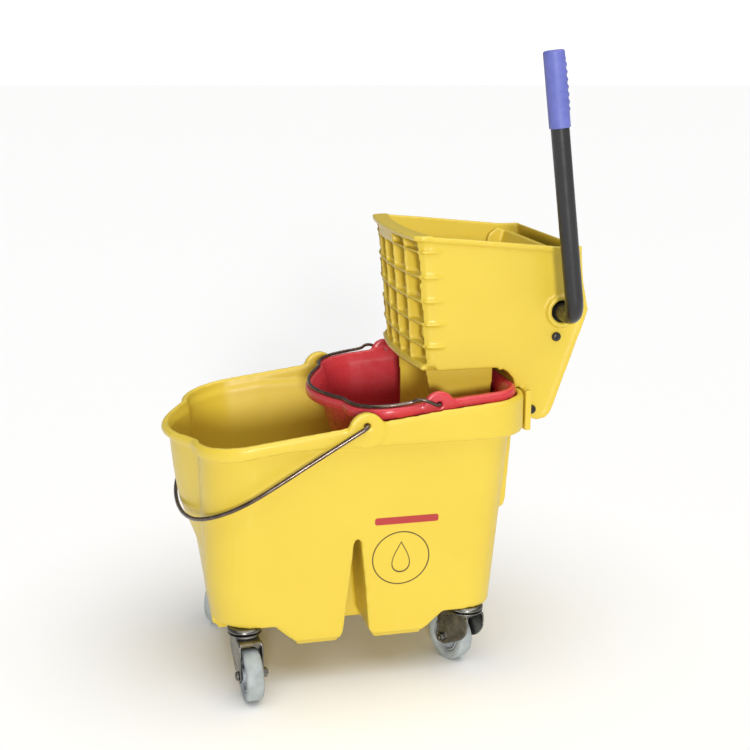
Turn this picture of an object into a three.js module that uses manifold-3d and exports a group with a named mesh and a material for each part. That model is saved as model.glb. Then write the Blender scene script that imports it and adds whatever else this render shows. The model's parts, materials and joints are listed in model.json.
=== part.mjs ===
// Wheeled mop bucket with a side-press wringer and an inner bucket for the dirty water.
// Millimetres, +Z up, the floor at Z = 0. +X runs from the pouring spout to the wringer, and the lever
// stands on the -Y side. Shapes are written in a working frame whose X = 0 lies midway between the casters.
import * as THREE from 'three';
import { mergeVertices } from 'three/addons/utils/BufferGeometryUtils.js';
import Module from 'manifold-3d';

const wasm = await Module();
wasm.setup();

// ---------------------------------------------------------------- driving dimensions
const GAP = 0.3; // between pieces that touch
const WALL = 4; // moulded wall

// main bucket
const BUCKET = { half: 188.6, front: -228, spout: 36, rear: 241, frontRadius: 80, rearRadius: 60 };
const RIM_TOP = 401.5; // height of the rim at X = 0
const RIM_SLOPE = 0.133; // its rise towards the wringer
const RIM_SAG = { from: 60, rate: 0.0003 }; // how the rise eases off towards the rear
const BASE_Z = 63.5; // underside of the keel and the base pads
const FLOOR_Z = 74; // floor inside
const POCKET = { z: 100, x: 125, y: 62, foot: 92 }; // the four caster pockets
const EAR = { x: 2.5, z: 400, radius: 25, top: 418, face: 190.6, hole: 4.2 };
const LUG_X = [60, 190]; // inside lugs that carry the inner bucket
const RIB = { y: 118, half: 4, z: 243, proud: 10 }; // upright ribs on the rear wall that part stacked buckets
const BAIL_R = 3;
const BAIL_DROP = 31; // degrees below level at rest, lying on the spout

// inner bucket
const INNER = { half: 172.5, front: -15, spout: 34, rear: 229, frontRadius: 62, rearRadius: 40 };
const INNER_TOP = 414; // height of the rim at X = 0
const INNER_SLOPE = 0.09; // its rise towards the wringer
const INNER_LIP = 16;
const INNER_BASE = 142;
const INNER_WALL = 3.5;
const INNER_EAR = { x: 108, z: 419.5, radius: 22, top: 438, face: 173.5, hole: 3.4 };
const INNER_BAIL_R = 2.5;

// casters
const STEM = { x: 164.5, y: 129 };
const WHEEL = { radius: 37.5, width: 25, trail: 33 };
const CASTERS = {
  front_near: { sx: -1, sy: -1, heading: -84 },
  front_far: { sx: -1, sy: 1, heading: -118 },
  rear_near: { sx: 1, sy: -1, heading: 117 },
  rear_far: { sx: 1, sy: 1, heading: 127 },
};

// wringer
const HALF = 134; // half width of the housing at its top edge
const TOP_Z = 647;
const TAPER = 7 / 190 / HALF; // how fast it narrows downwards
const GRID = { front: 85, bulge: 12, deep: 20, lean: 0.0753, low: 461, rows: [645, 624, 589, 555, 522, 490] };
const CHUTE = {
  half: 92,
  low: 330,
  front: [[104, 457], [109, 446], [113, 425], [115, 400]],
  foot: [115, 204],
  rear: 210,
};
const BOX_FLOOR = 455;
const SHAFT = { x: 297, z: 534, radius: 8 };
const BOSS_R = 23;
const HOLE_R = 15.5;
const PIVOT = { x: 258, z: 472 }; // hinge of the press plate
const BRACE = { x: 258, z: 390.5 }; // rod and bolts low on the side walls
const ANCHOR = { x: 290.5, z: 497 }; // rod and bolts under the lever shaft
const ROD_R = 4;
const PLATE = { half: 118, high: 150, lean: 14.6, face: -5, back: 1, rib: 5, cheek: -28 };
const PUSH = { dx: 4.5, dz: 56, radius: 6 }; // push bar from the shaft
const ARM_Y = 95;
const TUBE_R = 12.5;
const LEVER_Y = 183;
const LEVER_LEAN = 7.3; // degrees towards the spout at rest
const LEVER_TOP = 890.6;
const GRIP = { length: 100, radius: 14.3, wall: 1.5 };

// the row frame stands at the middle of the whole object's footprint
const REARMOST = 337;
const MIDDLE_X = (BUCKET.front - BUCKET.spout + REARMOST) / 2;

// ---------------------------------------------------------------- looks
const finish = (color, roughness, metalness = 0) => ({ color, roughness, metalness });
const YELLOW = finish(0xf6dc4a, 0.42);
const RED = finish(0xc3303c, 0.38);
const BLACK = finish(0x2e2d2c, 0.35);
const BLUE = finish(0x6366c4, 0.6);
const GREY = finish(0xa3abac, 0.6);
const ZINC = finish(0xa9a79f, 0.35, 0.9);
const WIRE = finish(0x4a423e, 0.3, 0.8);

const model = new THREE.Group();
model.position.set(-MIDDLE_X, 0, 0);

function add(name, geometry, look, parent = model) {
  const mesh = new THREE.Mesh(geometry, new THREE.MeshStandardMaterial(look));
  mesh.name = name;
  parent.add(mesh);
  return mesh;
}

// ---------------------------------------------------------------- solids
function solid(geometry) {
  const bare = geometry.clone();
  for (const name of Object.keys(bare.attributes)) {
    if (name !== 'position') bare.deleteAttribute(name);
  }
  const merged = mergeVertices(bare, 1e-4);
  const index = merged.index.array;
  const kept = [];
  for (let i = 0; i < index.length; i += 3) {
    const [a, b, c] = [index[i], index[i + 1], index[i + 2]];
    if (a !== b && b !== c && c !== a) kept.push(a, b, c);
  }
  const triVerts = Uint32Array.from(kept);
  const vertProperties = Float32Array.from(merged.attributes.position.array);
  return new wasm.Manifold(new wasm.Mesh({ numProp: 3, vertProperties, triVerts }));
}

function geometryOf(manifold) {
  const mesh = manifold.getMesh();
  const points = new Float32Array(mesh.numVert * 3);
  for (let i = 0; i < mesh.numVert; i++) {
    for (let k = 0; k < 3; k++) points[3 * i + k] = mesh.vertProperties[mesh.numProp * i + k];
  }
  const geometry = new THREE.BufferGeometry();
  geometry.setAttribute('position', new THREE.BufferAttribute(points, 3));
  geometry.setIndex(new THREE.BufferAttribute(Uint32Array.from(mesh.triVerts), 1));
  geometry.computeVertexNormals();
  return geometry;
}

const join = (parts) => parts.reduce((a, b) => a.add(b));
const cut = (body, tools) => tools.reduce((a, b) => a.subtract(b), body);
const bothSides = (make) => [make(-1), make(1)];
const sorted = (a, b) => (a < b ? [a, b] : [b, a]);
const radians = THREE.MathUtils.degToRad;

function block(x, y, z) {
  const box = new THREE.BoxGeometry(x[1] - x[0], y[1] - y[0], z[1] - z[0]);
  return box.translate((x[0] + x[1]) / 2, (y[0] + y[1]) / 2, (z[0] + z[1]) / 2);
}

// a side outline of [x, z] points swept along Y
function slab(outline, y) {
  const shape = new THREE.Shape(outline.map(([x, z]) => new THREE.Vector2(x, z)));
  const body = new THREE.ExtrudeGeometry(shape, { depth: y[1] - y[0], bevelEnabled: false });
  return body.rotateX(Math.PI / 2).translate(0, y[1], 0);
}

function roundY(x, z, radius, y, sides = 16) {
  return new THREE.CylinderGeometry(radius, radius, y[1] - y[0], sides).translate(x, (y[0] + y[1]) / 2, z);
}

// a turned piece about Y through (x, z), from [radius, y] points; a ring closes its own outline
function turnedY(profile, x, z, sides, ring = false) {
  const points = ring ? [...profile, profile[0]] : profile;
  const outline = points.map(([radius, y]) => new THREE.Vector2(radius, y));
  return new THREE.LatheGeometry(outline, sides).translate(x, 0, z);
}

function turnedZ(profile, sides, ring = false) {
  return turnedY(profile, 0, 0, sides, ring).rotateX(Math.PI / 2);
}

// a closed skin through rings of points that all have the same count, lowest ring first
function loft(rings) {
  const count = rings[0].length;
  const positions = rings.flat().flatMap((p) => [p.x, p.y, p.z]);
  const index = [];
  for (let i = 0; i + 1 < rings.length; i++) {
    for (let j = 0; j < count; j++) {
      const a = i * count + j;
      const b = i * count + ((j + 1) % count);
      index.push(a, b, b + count, a, b + count, a + count);
    }
  }
  const flat = (ring) => ring.map((p) => new THREE.Vector2(p.x, p.y));
  const last = (rings.length - 1) * count;
  for (const [a, b, c] of THREE.ShapeUtils.triangulateShape(flat(rings[0]), [])) index.push(c, b, a);
  for (const [a, b, c] of THREE.ShapeUtils.triangulateShape(flat(rings.at(-1)), [])) {
    index.push(last + a, last + b, last + c);
  }
  const geometry = new THREE.BufferGeometry();
  geometry.setAttribute('position', new THREE.Float32BufferAttribute(positions, 3));
  geometry.setIndex(index);
  return geometry;
}

function wire(points, radius, sides, steps) {
  const path = new THREE.CatmullRomCurve3(points.map((p) => new THREE.Vector3(...p)), false, 'centripetal');
  const section = new THREE.Shape();
  section.absarc(0, 0, radius, 0, 2 * Math.PI);
  const round = new THREE.Shape(section.getPoints(sides).slice(0, sides));
  return new THREE.ExtrudeGeometry(round, { extrudePath: path, steps, bevelEnabled: false });
}

// ---------------------------------------------------------------- bucket outlines
const SPOUT_STEPS = 7;
const CORNER_STEPS = 4;

// A rounded box in plan with a pouring spout at its front, as [x, y] points counter-clockwise from the
// spout's tip. The spout swells out of the front wall and dies into it at the shoulders.
function plan({ half, front, spout, rear, frontRadius, rearRadius }) {
  const side = [];
  const shoulder = half - frontRadius - 3;
  for (let i = 0; i <= SPOUT_STEPS; i++) {
    const t = i / SPOUT_STEPS;
    side.push([front - spout * (1 - t * t) ** 1.25, -shoulder * t]);
  }
  for (let i = 0; i <= CORNER_STEPS; i++) {
    const a = (Math.PI / 2) * (i / CORNER_STEPS);
    side.push([front + frontRadius * (1 - Math.cos(a)), -(half - frontRadius * (1 - Math.sin(a)))]);
  }
  const [start, end] = [front + frontRadius, rear - rearRadius];
  for (const t of [0.15, 0.45]) side.push([start + t * (end - start), -half]);
  for (let i = 0; i <= CORNER_STEPS; i++) {
    const a = (Math.PI / 2) * (i / CORNER_STEPS);
    side.push([rear - rearRadius * (1 - Math.sin(a)), -(half - rearRadius * (1 - Math.cos(a)))]);
  }
  const mirrored = side.slice(1).map(([x, y]) => [x, -y]).reverse();
  return [...side, ...mirrored];
}

// the same outline, smaller by an even margin all round
const TIGHTEST = 18; // smallest corner radius in plan
function inset(outline, by) {
  return {
    ...outline,
    half: outline.half - by,
    front: outline.front + by,
    rear: outline.rear - by,
    frontRadius: Math.max(outline.frontRadius - by, TIGHTEST),
    rearRadius: Math.max(outline.rearRadius - by, TIGHTEST),
  };
}

const ring = (outline, height) => plan(outline).map(([x, y]) => new THREE.Vector3(x, y, height(x)));
const level = (z) => () => z;
const rimTop = (x) => RIM_TOP + RIM_SLOPE * x - RIM_SAG.rate * Math.max(x - RIM_SAG.from, 0) ** 2;
const innerTop = (x) => INNER_TOP + INNER_SLOPE * x;
const innerLow = (x) => innerTop(x) - INNER_LIP;
// lower edge of the rim skirt: level along the sides, dropping a little round the spout
const skirtLow = (x) => 370 - 14 * THREE.MathUtils.smoothstep(-x, 95, 205);

// stations of the bucket's wall below the skirt: [height, front wall, how far the spout stands out]
const WALL_STATIONS = [
  [BASE_Z, -203.5, 0],
  [110, -208, 0],
  [160, -215, 0],
  [182, -216, 0],
  [205, -216.5, 8],
  [250, -217.5, 25],
  [305, -218.5, 31],
  [356, -219.5, 34],
];
const wallHalf = (z) => 178 - 0.1037 * (370 - z);
const wallRear = (z) => 222 - 0.07 * (370 - z);

function wallOutline([z, front, spout]) {
  const half = wallHalf(z);
  return { half, front, spout, rear: wallRear(z), frontRadius: 0.42 * half, rearRadius: 0.3 * half };
}

// ---------------------------------------------------------------- main bucket
// one of the four pockets over the casters, grown by a margin to make its wall inside
function pocket(sx, sy, grow) {
  const { z, x, y, foot } = POCKET;
  const [near, far] = [foot - grow, 300];
  const outline = [[far, 40], [near, 40], [near, 70], [x - grow, z + grow], [far, z + grow]];
  const turned = sx < 0 ? outline.map(([px, pz]) => [-px, pz]) : outline;
  return solid(slab(turned, sorted(sy * (y - grow), sy * 260)));
}

// the tapered recess in the middle of each side wall, again grown for the inside
function notch(sy, grow) {
  const left = [[-36 - grow, 40], [-36 - grow, 64], [-27 - grow, 82], [-11 - grow, 222], [-8, 227 + grow]];
  const right = [[-3, 227 + grow], [0 + grow, 222], [15 + grow, 82], [26 + grow, 64], [26 + grow, 40]];
  const outline = [...left, ...right];
  const back = POCKET.y + 2 - grow;
  const narrow = 0.8; // the recess narrows towards its back wall
  const middle = -5.5;
  const body = slab(outline, [back, 260]);
  const position = body.attributes.position;
  for (let i = 0; i < position.count; i++) {
    if (position.getY(i) > back + 1) continue;
    position.setX(i, middle + narrow * (position.getX(i) - middle));
  }
  return solid(sy < 0 ? body.rotateZ(Math.PI).translate(2 * middle, 0, 0) : body);
}

function makeBucket() {
  const foot = inset(wallOutline(WALL_STATIONS[0]), 7);
  const stations = WALL_STATIONS.slice(1);
  const pad = 70;
  const outer = loft([
    ring(foot, level(BASE_Z)),
    ring(foot, level(pad)),
    ring(wallOutline([pad + 1, -204.5, 0]), level(pad + 1)),
    ...stations.slice(0, -1).map((s) => ring(wallOutline(s), level(s[0]))),
    ring({ ...wallOutline(stations.at(-1)), half: 178, rear: 223 }, (x) => skirtLow(x) - 1),
    ring(inset(BUCKET, 1), skirtLow),
    ring(BUCKET, (x) => skirtLow(x) + 3),
    ring(BUCKET, (x) => rimTop(x) - 5),
    ring(inset(BUCKET, 1.8), (x) => rimTop(x) - 1.5),
    ring(inset(BUCKET, 4.5), rimTop),
  ]);
  const inside = ([z, front, spout]) => inset(wallOutline([z, front, spout]), WALL);
  const inner = loft([
    ring(inset(inside([FLOOR_Z, -203.5, 0]), 4), level(FLOOR_Z)),
    ring(inside([FLOOR_Z + 6, -204.5, 0]), level(FLOOR_Z + 6)),
    ...stations.slice(0, -1).map((s) => ring(inside(s), level(s[0]))),
    ring(inset({ ...wallOutline(stations.at(-1)), half: 178, rear: 223 }, WALL), (x) => skirtLow(x) - 1),
    ring(inset(BUCKET, 11), (x) => Math.max(skirtLow(x) + 8, rimTop(x) - 40)),
    ring(inset(BUCKET, 10), (x) => rimTop(x) - 3),
    ring(inset(BUCKET, 8), (x) => rimTop(x) + 3),
  ]);
  const corners = [[-1, -1], [-1, 1], [1, -1], [1, 1]];
  const hollow = cut(solid(inner), [
    ...corners.map(([sx, sy]) => pocket(sx, sy, WALL)),
    ...bothSides((sy) => notch(sy, WALL)),
    ...corners.map(([sx, sy]) => {
      const boss = new THREE.CylinderGeometry(13, 13, 60, 12).rotateX(Math.PI / 2);
      return solid(boss.translate(sx * STEM.x, sy * STEM.y, POCKET.z + 5));
    }),
  ]);
  const ear = (sy) => {
    const face = sorted(sy * (EAR.face - 11), sy * EAR.face);
    return solid(roundY(EAR.x, EAR.top - EAR.radius, EAR.radius, face, 28));
  };
  const lug = (x) => (sy) => {
    const foot = innerLow(x) - 13;
    const top = [x + 12, x - 12].map((px) => [px, innerLow(px) - GAP]);
    return solid(slab([[x - 9, foot], [x + 9, foot], ...top], sorted(sy * 161.5, sy * 178.5)));
  };
  const rib = (sy) => {
    const { y, half, z, proud } = RIB;
    const top = skirtLow(0) + 2;
    const root = WALL / 2; // how far it is sunk into the wall
    const side = [
      [wallRear(z) - root, z], [wallRear(z) + proud / 2, z], [wallRear(z) + proud, z + proud],
      [wallRear(top) + proud, top], [wallRear(top) - root, top],
    ];
    return solid(slab(side, sorted(sy * (y - half), sy * (y + half))));
  };
  const shell = cut(solid(outer), [
    hollow,
    ...corners.map(([sx, sy]) => pocket(sx, sy, 0)),
    ...bothSides((sy) => notch(sy, 0)),
  ]);
  const sockets = corners.map(([sx, sy]) => {
    const socket = new THREE.CylinderGeometry(5.9, 5.9, 60, 12).rotateX(Math.PI / 2);
    return solid(socket.translate(sx * STEM.x, sy * STEM.y, POCKET.z + 0.5));
  });
  const holes = bothSides((sy) => solid(roundY(EAR.x, EAR.z, EAR.hole, sorted(sy * 170, sy * 200), 14)));
  const lugs = LUG_X.flatMap((x) => bothSides(lug(x)));
  return cut(join([shell, ...bothSides(ear), ...bothSides(rib), ...lugs]), [
    ...holes,
    ...sockets,
  ]);
}

// ---------------------------------------------------------------- wire handles
// Half of the handle in its own plane: [reach from the pivots, distance from the middle plane].
const BAIL_SHAPE = [
  [0, EAR.face - 13], [0, EAR.face + 1], [4, EAR.face + 4.4], [14, 195], [90, 193], [150, 192], [182, 189],
  [208, 181], [230, 168], [250, 150], [269, 122], [282, 84], [288.6, 42],
];
const BAIL_REACH = 290.5;

function makeBail() {
  const drop = radians(BAIL_DROP);
  const place = (sy) => ([reach, out]) => [
    EAR.x - reach * Math.cos(drop), sy * out, EAR.z - reach * Math.sin(drop),
  ];
  const near = BAIL_SHAPE.map(place(-1));
  const far = BAIL_SHAPE.map(place(1)).reverse();
  return wire([...near, place(1)([BAIL_REACH, 0]), ...far], BAIL_R, 6, 48);
}

// The inner handle lies on the inner bucket's rim and follows its outline round the spout.
function makeInnerBail() {
  const { x, z, face } = INNER_EAR;
  const pivot = z + GAP;
  const over = (px) => innerTop(px) + INNER_BAIL_R + GAP;
  const outline = plan(inset(INNER, 5));
  const half = outline.slice(0, SPOUT_STEPS + CORNER_STEPS + 2).filter((_, i) => i % 2 === 0);
  const run = half.reverse().map(([px, py]) => [px, py, over(px)]);
  const end = [
    [x, -face + 9, pivot], [x, -face - 1, pivot], [x - 4, -face - 3, pivot],
    [x - 22, -face - 2.5, over(x - 22)], [x - 34, -face + 2, over(x - 34) + 1],
  ];
  const near = [...end, ...run];
  const far = near.slice(0, -1).map(([px, py, pz]) => [px, -py, pz]).reverse();
  return wire([...near, ...far], INNER_BAIL_R, 6, 48);
}

// ---------------------------------------------------------------- inner bucket
function makeInnerBucket() {
  // how much smaller than the rim, front wall, spout
  const outline = ([by, front, spout]) => ({ ...inset(INNER, by), front, spout });
  const [foot, base] = [outline([42, 42, 0]), outline([41, 41, 0])];
  const walls = [[230, outline([30, 25, 0])], [300, outline([22, 13, 12])]];
  const neck = outline([12.5, INNER.front + 12.5, 30]);
  const outer = loft([
    ring(inset(foot, 5), level(INNER_BASE)),
    ring(base, level(INNER_BASE + 6)),
    ...walls.map(([z, wall]) => ring(wall, level(z))),
    ring(neck, (x) => innerLow(x) - GAP),
    ring(inset(INNER, 1), innerLow),
    ring(INNER, (x) => innerLow(x) + 3),
    ring(INNER, (x) => innerTop(x) - 5),
    ring(inset(INNER, 1.6), (x) => innerTop(x) - 1.5),
    ring(inset(INNER, 4.5), innerTop),
  ]);
  const inner = loft([
    ring(inset(foot, 8), level(INNER_BASE + INNER_WALL)),
    ring(inset(base, INNER_WALL), level(INNER_BASE + 10)),
    ...walls.map(([z, wall]) => ring(inset(wall, INNER_WALL), level(z))),
    ring(inset(neck, INNER_WALL), innerLow),
    ring(inset(INNER, 11), (x) => innerTop(x) - 3),
    ring(inset(INNER, 8), (x) => innerTop(x) + 3),
  ]);
  const ear = (sy) => {
    const { x, top, radius, face } = INNER_EAR;
    return solid(roundY(x, top - radius, radius, sorted(sy * (face - 9), sy * face), 24));
  };
  const hole = (sy) => {
    const { x, z, hole: radius, face } = INNER_EAR;
    return solid(roundY(x, z, radius, sorted(sy * (face - 10), sy * (face + 10)), 12));
  };
  return cut(join([cut(solid(outer), [solid(inner)]), ...bothSides(ear)]), bothSides(hole));
}

// ---------------------------------------------------------------- casters
function makeFork() {
  const { trail, width } = WHEEL;
  const inside = width / 2 + 2.5;
  const outside = inside + 2.5;
  const side = [
    [-20, 86], [-20, 62], [-10, 47], [30, 28.5], [36, 28.5], [41, 32], [43, 38], [43, 86],
  ];
  const leg = (sy) => solid(slab(side, sorted(sy * inside, sy * outside)));
  const top = solid(block([-20, trail + 10], [-outside, outside], [85.5, 88]));
  const race = new THREE.CylinderGeometry(21, 25, 3, 16).rotateX(Math.PI / 2).translate(0, 0, 89.1);
  const pin = new THREE.CylinderGeometry(5.5, 5.5, 20, 10).rotateX(Math.PI / 2).translate(0, 0, 88);
  const axle = solid(roundY(trail, WHEEL.radius, 4.3, [-30, 30], 12));
  return cut(join([top, solid(race), ...bothSides(leg)]), [solid(pin), axle]);
}

const STEM_PROFILE = [
  [0, 130], [5.5, 130], [5.5, 99.7], [22, 99.7], [25, 97], [25, 94], [21, 91], [5, 91], [5, 85.2], [9, 85.2],
  [9, 82], [0, 82],
];
const TYRE_PROFILE = [
  [24.3, -10], [27, -12.5], [34, -12.5], [37.5, -9.5], [37.5, 9.5], [34, 12.5], [27, 12.5], [24.3, 10],
];
const HUB_PROFILE = [
  [4.3, -13], [9, -13], [9, -7], [22, -7], [24, -10], [24, 10], [22, 7], [9, 7], [9, 13], [4.3, 13],
];
const AXLE_PROFILE = [[0, -22.5], [5, -22.5], [6.5, -20.5], [6.5, -17.8], [4, -17.8], [4, 25], [0, 25]];

function makeNut() {
  const y = [WHEEL.width / 2 + 5 + GAP, WHEEL.width / 2 + 10.5];
  const { trail, radius } = WHEEL;
  return cut(solid(roundY(trail, radius, 7, y, 6)), [solid(roundY(trail, radius, 4.3, [0, 40], 12))]);
}

function addCaster(where, { sx, sy, heading }) {
  const caster = new THREE.Group();
  caster.position.set(sx * STEM.x, sy * STEM.y, 0);
  const swivel = new THREE.Group();
  swivel.rotation.z = radians(heading);
  caster.add(swivel);
  model.add(caster);
  const { trail, radius } = WHEEL;
  const turned = (profile, sides, ringed) => turnedY(profile, trail, radius, sides, ringed);
  add(`caster_stem_${where}`, turnedZ([...STEM_PROFILE].reverse(), 12), ZINC, caster);
  add(`caster_fork_${where}`, geometryOf(makeFork()), ZINC, swivel);
  add(`wheel_hub_${where}`, turned(HUB_PROFILE, 14, true), GREY, swivel);
  add(`wheel_tyre_${where}`, turned(TYRE_PROFILE, 22, true), GREY, swivel);
  add(`axle_bolt_${where}`, turned(AXLE_PROFILE, 10), ZINC, swivel);
  add(`axle_nut_${where}`, geometryOf(makeNut()), ZINC, swivel);
}

// ---------------------------------------------------------------- wringer housing
// the housing narrows evenly downwards
const narrowing = (z) => 1 - TAPER * (TOP_Z - z);
function narrowed(geometry) {
  const position = geometry.attributes.position;
  for (let i = 0; i < position.count; i++) {
    position.setY(i, position.getY(i) * narrowing(position.getZ(i)));
  }
  return geometry;
}

const wallY = (z) => HALF * narrowing(z); // outside of a side wall at height z

// bowed front outline in plan, as [x, y] points from -Y to +Y
function bow(front, half, bulge, steps = 8) {
  const points = [];
  for (let i = 0; i <= steps; i++) {
    const t = (2 * i) / steps - 1;
    points.push([front - bulge * (1 - t * t), t * half]);
  }
  return points;
}

function bowedPlate(front, back, half, z, lean) {
  const outline = [...bow(front, half, GRID.bulge), ...bow(back, half, GRID.bulge).reverse()];
  const shape = new THREE.Shape(outline.map(([x, y]) => new THREE.Vector2(x, y)));
  const body = new THREE.ExtrudeGeometry(shape, { depth: z[1] - z[0], bevelEnabled: false });
  body.translate(0, 0, z[0]);
  const position = body.attributes.position;
  for (let i = 0; i < position.count; i++) {
    position.setX(i, position.getX(i) + lean * (TOP_Z - position.getZ(i)));
  }
  return narrowed(body);
}

// the drain under the basket: two side walls and a rear wall, open towards the spout
function makeChute() {
  const { half, low, front, foot, rear } = CHUTE;
  const top = BOX_FLOOR + WALL / 2;
  const side = [...front, [foot[0], low], [foot[1], low], [rear, top]];
  const inner = [[60, low - 10], [foot[1] - WALL - 0.4, low - 10], [rear - WALL, top + 1], [60, top + 1]];
  const [outside, inside] = [half, half - WALL];
  return cut(solid(slab(side, [-outside, outside])), [solid(slab(inner, [-inside, inside]))]);
}

function makeHousing() {
  const back = GRID.front + GRID.deep + GAP;
  const slope = (z) => back + GRID.lean * (TOP_Z - z);
  const rest = rimTop(BUCKET.rear - 4.5) + 2 * GAP; // underside of the saddle on the bucket's rim
  const outline = [
    [slope(645), 645], [158, 640], [290, 626], [322, 626], [327.6, 574], [REARMOST, 534], [329, 509],
    [287.6, 384], [280, 376], [268, 373], [255, 378], [241.6, 381], [241.6, rest], [231.6, rest],
    [230.2, 437], [222, 447], [214, 452.5], [208, 451], [205, BOX_FLOOR], [slope(BOX_FLOOR), BOX_FLOOR],
  ];
  const cavity = [
    [60, 720], [318, 720], [318, 626], [323.4, 574], [332.7, 534], [324.8, 510], [284, 387], [277, 380],
    [268, 377.3], [257, 382.5], [245.9, 385], [245.9, rest + WALL], [235.6, rest + WALL], [234.4, 439],
    [226, 450], [216, 457],
    [205, 460.5], [60, 460.5],
  ];
  const wallIn = HALF - WALL;
  const shell = solid(narrowed(slab(outline, [-HALF, HALF])));
  const inside = solid(narrowed(slab(cavity, [-wallIn, wallIn])));
  const half = wallY(BOX_FLOOR);
  const floor = solid(bowedPlate(GRID.front + 10, 205, half + 1, [BOX_FLOOR, GRID.low - GAP], 0));
  const chute = makeChute();
  const lip = (sy) => {
    const edge = [
      [slope(646), 646], [158, 640.5], [290, 626.5], [322, 626.5], [322, 619], [290, 619], [158, 633],
      [slope(638), 638],
    ];
    return solid(slab(edge, sorted(sy * (HALF - 4), sy * (HALF + 3.5))));
  };
  const strip = join([
    solid(block([241.6, 245.9], [-146, 146], [365, 424])),
    ...bothSides((sy) => solid(block([241.6, 254.5], sorted(sy * 142, sy * 146), [365, 424]))),
  ]);
  const boss = (sy) => {
    const y = sorted(sy * (wallY(SHAFT.z) - 3), sy * (wallY(SHAFT.z) + 6));
    return solid(roundY(SHAFT.x, SHAFT.z, BOSS_R, y, 28));
  };
  const pivotBoss = (sy) => {
    const wall = wallY(PIVOT.z) - WALL;
    return solid(roundY(PIVOT.x, PIVOT.z, 8, sorted(sy * (wall - 3), sy * (wall + 2)), 16));
  };
  const between = [WALL - CHUTE.half, CHUTE.half - WALL];
  const drain = solid(block([CHUTE.foot[0] + WALL, CHUTE.foot[1] - WALL], between, [BOX_FLOOR - 5, 480]));
  const body = cut(join([cut(join([shell, floor]), [inside]), chute]), [drain]);
  const all = join([body, strip, ...bothSides(lip), ...bothSides(boss), ...bothSides(pivotBoss)]);
  const hole = ({ x, z }, radius) => (sy) => solid(roundY(x, z, radius, sorted(sy * 100, sy * 160), 24));
  const pin = (sy) => {
    const wall = wallY(PIVOT.z) - WALL;
    return solid(roundY(PIVOT.x, PIVOT.z, ROD_R + GAP, sorted(sy * 60, sy * (wall + 1)), 14));
  };
  return cut(all, [
    ...bothSides(hole(SHAFT, HOLE_R)),
    ...bothSides(hole(ANCHOR, ROD_R + GAP)),
    ...bothSides(hole(BRACE, ROD_R + GAP)),
    ...bothSides(pin),
  ]);
}

// the drain grid: a bowed front wall of deep square cells
function makeGrid() {
  const { front, deep, lean, low, rows } = GRID;
  const body = solid(bowedPlate(front, front + deep, HALF, [low, TOP_Z - 1], lean));
  const lip = solid(bowedPlate(front - 4, front + deep, HALF + 3.5, [TOP_Z - 8, TOP_Z], lean));
  const columns = 5;
  const rib = 3.4;
  const pitch = (2 * (HALF - 6)) / columns;
  const cells = [];
  for (let row = 0; row < rows.length; row++) {
    const high = row === 0 ? TOP_Z - 8 : rows[row] - rib / 2;
    const bottom = row + 1 < rows.length ? rows[row + 1] + rib / 2 : low + 3;
    for (let column = 0; column < columns; column++) {
      const blank = row === 0 && (column === 2 || column === 3);
      const y0 = -(HALF - 6) + column * pitch + rib / 2;
      const x = blank ? [front + 2, front + 60] : [front - 60, front + 60];
      const cell = block(x, [y0, y0 + pitch - rib], [bottom, high]);
      cells.push(solid(narrowed(cell)));
    }
  }
  return cut(join([body, lip]), cells);
}

// ---------------------------------------------------------------- press plate
// In its own frame the hinge is the origin, z runs up the plate and -x is the pressing side.
function makePlate() {
  const { half, high, face, back, rib, cheek } = PLATE;
  const panel = solid(block([face, back], [-half, half], [2, high]));
  const flange = solid(block([face, 12], [-half, half], [high - 4, high]));
  const side = [[face + 1, 8], [cheek, 42], [cheek, high - 12], [cheek + 10, high], [face + 1, high]];
  const cheeks = bothSides((sy) => solid(slab(side, sorted(sy * (half - 5), sy * half))));
  const ribs = [30, 75].flatMap((y) => bothSides((sy) => (
    solid(block([back - 1, rib], sorted(sy * (y - 4), sy * (y + 4)), [10, high - 2]))
  )));
  const barrel = solid(roundY(0, 0, 7, [-half, half], 16));
  const bore = solid(roundY(0, 0, ROD_R + GAP, [-half - 1, half + 1], 14));
  const body = cut(join([panel, flange, barrel, ...cheeks, ...ribs]), [bore]);
  const geometry = geometryOf(body);
  return geometry.rotateY(radians(PLATE.lean)).translate(PIVOT.x, 0, PIVOT.z);
}

// ---------------------------------------------------------------- lever, shaft and cranks
function makeLeverTube() {
  const bend = 28;
  const lean = radians(LEVER_LEAN);
  const up = new THREE.Vector3(-Math.sin(lean), 0, Math.cos(lean));
  const inner = new THREE.Vector3(SHAFT.x, -112, SHAFT.z);
  const corner = new THREE.Vector3(SHAFT.x, -LEVER_Y, SHAFT.z);
  const before = corner.clone().add(new THREE.Vector3(0, bend, 0));
  const after = corner.clone().addScaledVector(up, bend);
  const top = corner.clone().addScaledVector(up, (LEVER_TOP - 5 - SHAFT.z) / up.z);
  const elbow = new THREE.QuadraticBezierCurve3(before, corner, after);
  return tubeThrough([inner, ...elbow.getPoints(7), top], TUBE_R, 16);
}

// a tube through the given points, with one ring at each
function tubeThrough(points, radius, sides) {
  const count = points.length;
  const rings = [];
  const flat = new THREE.Vector3(1, 0, 0);
  for (let i = 0; i < count; i++) {
    const before = points[Math.max(i - 1, 0)];
    const after = points[Math.min(i + 1, count - 1)];
    const along = after.clone().sub(before).normalize();
    const across = flat.clone().addScaledVector(along, -flat.dot(along)).normalize();
    const third = along.clone().cross(across);
    const circle = [];
    for (let j = 0; j < sides; j++) {
      const a = (2 * Math.PI * j) / sides;
      circle.push(points[i].clone()
        .addScaledVector(across, radius * Math.cos(a))
        .addScaledVector(third, radius * Math.sin(a)));
    }
    rings.push(circle);
  }
  return skin(rings);
}

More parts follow.
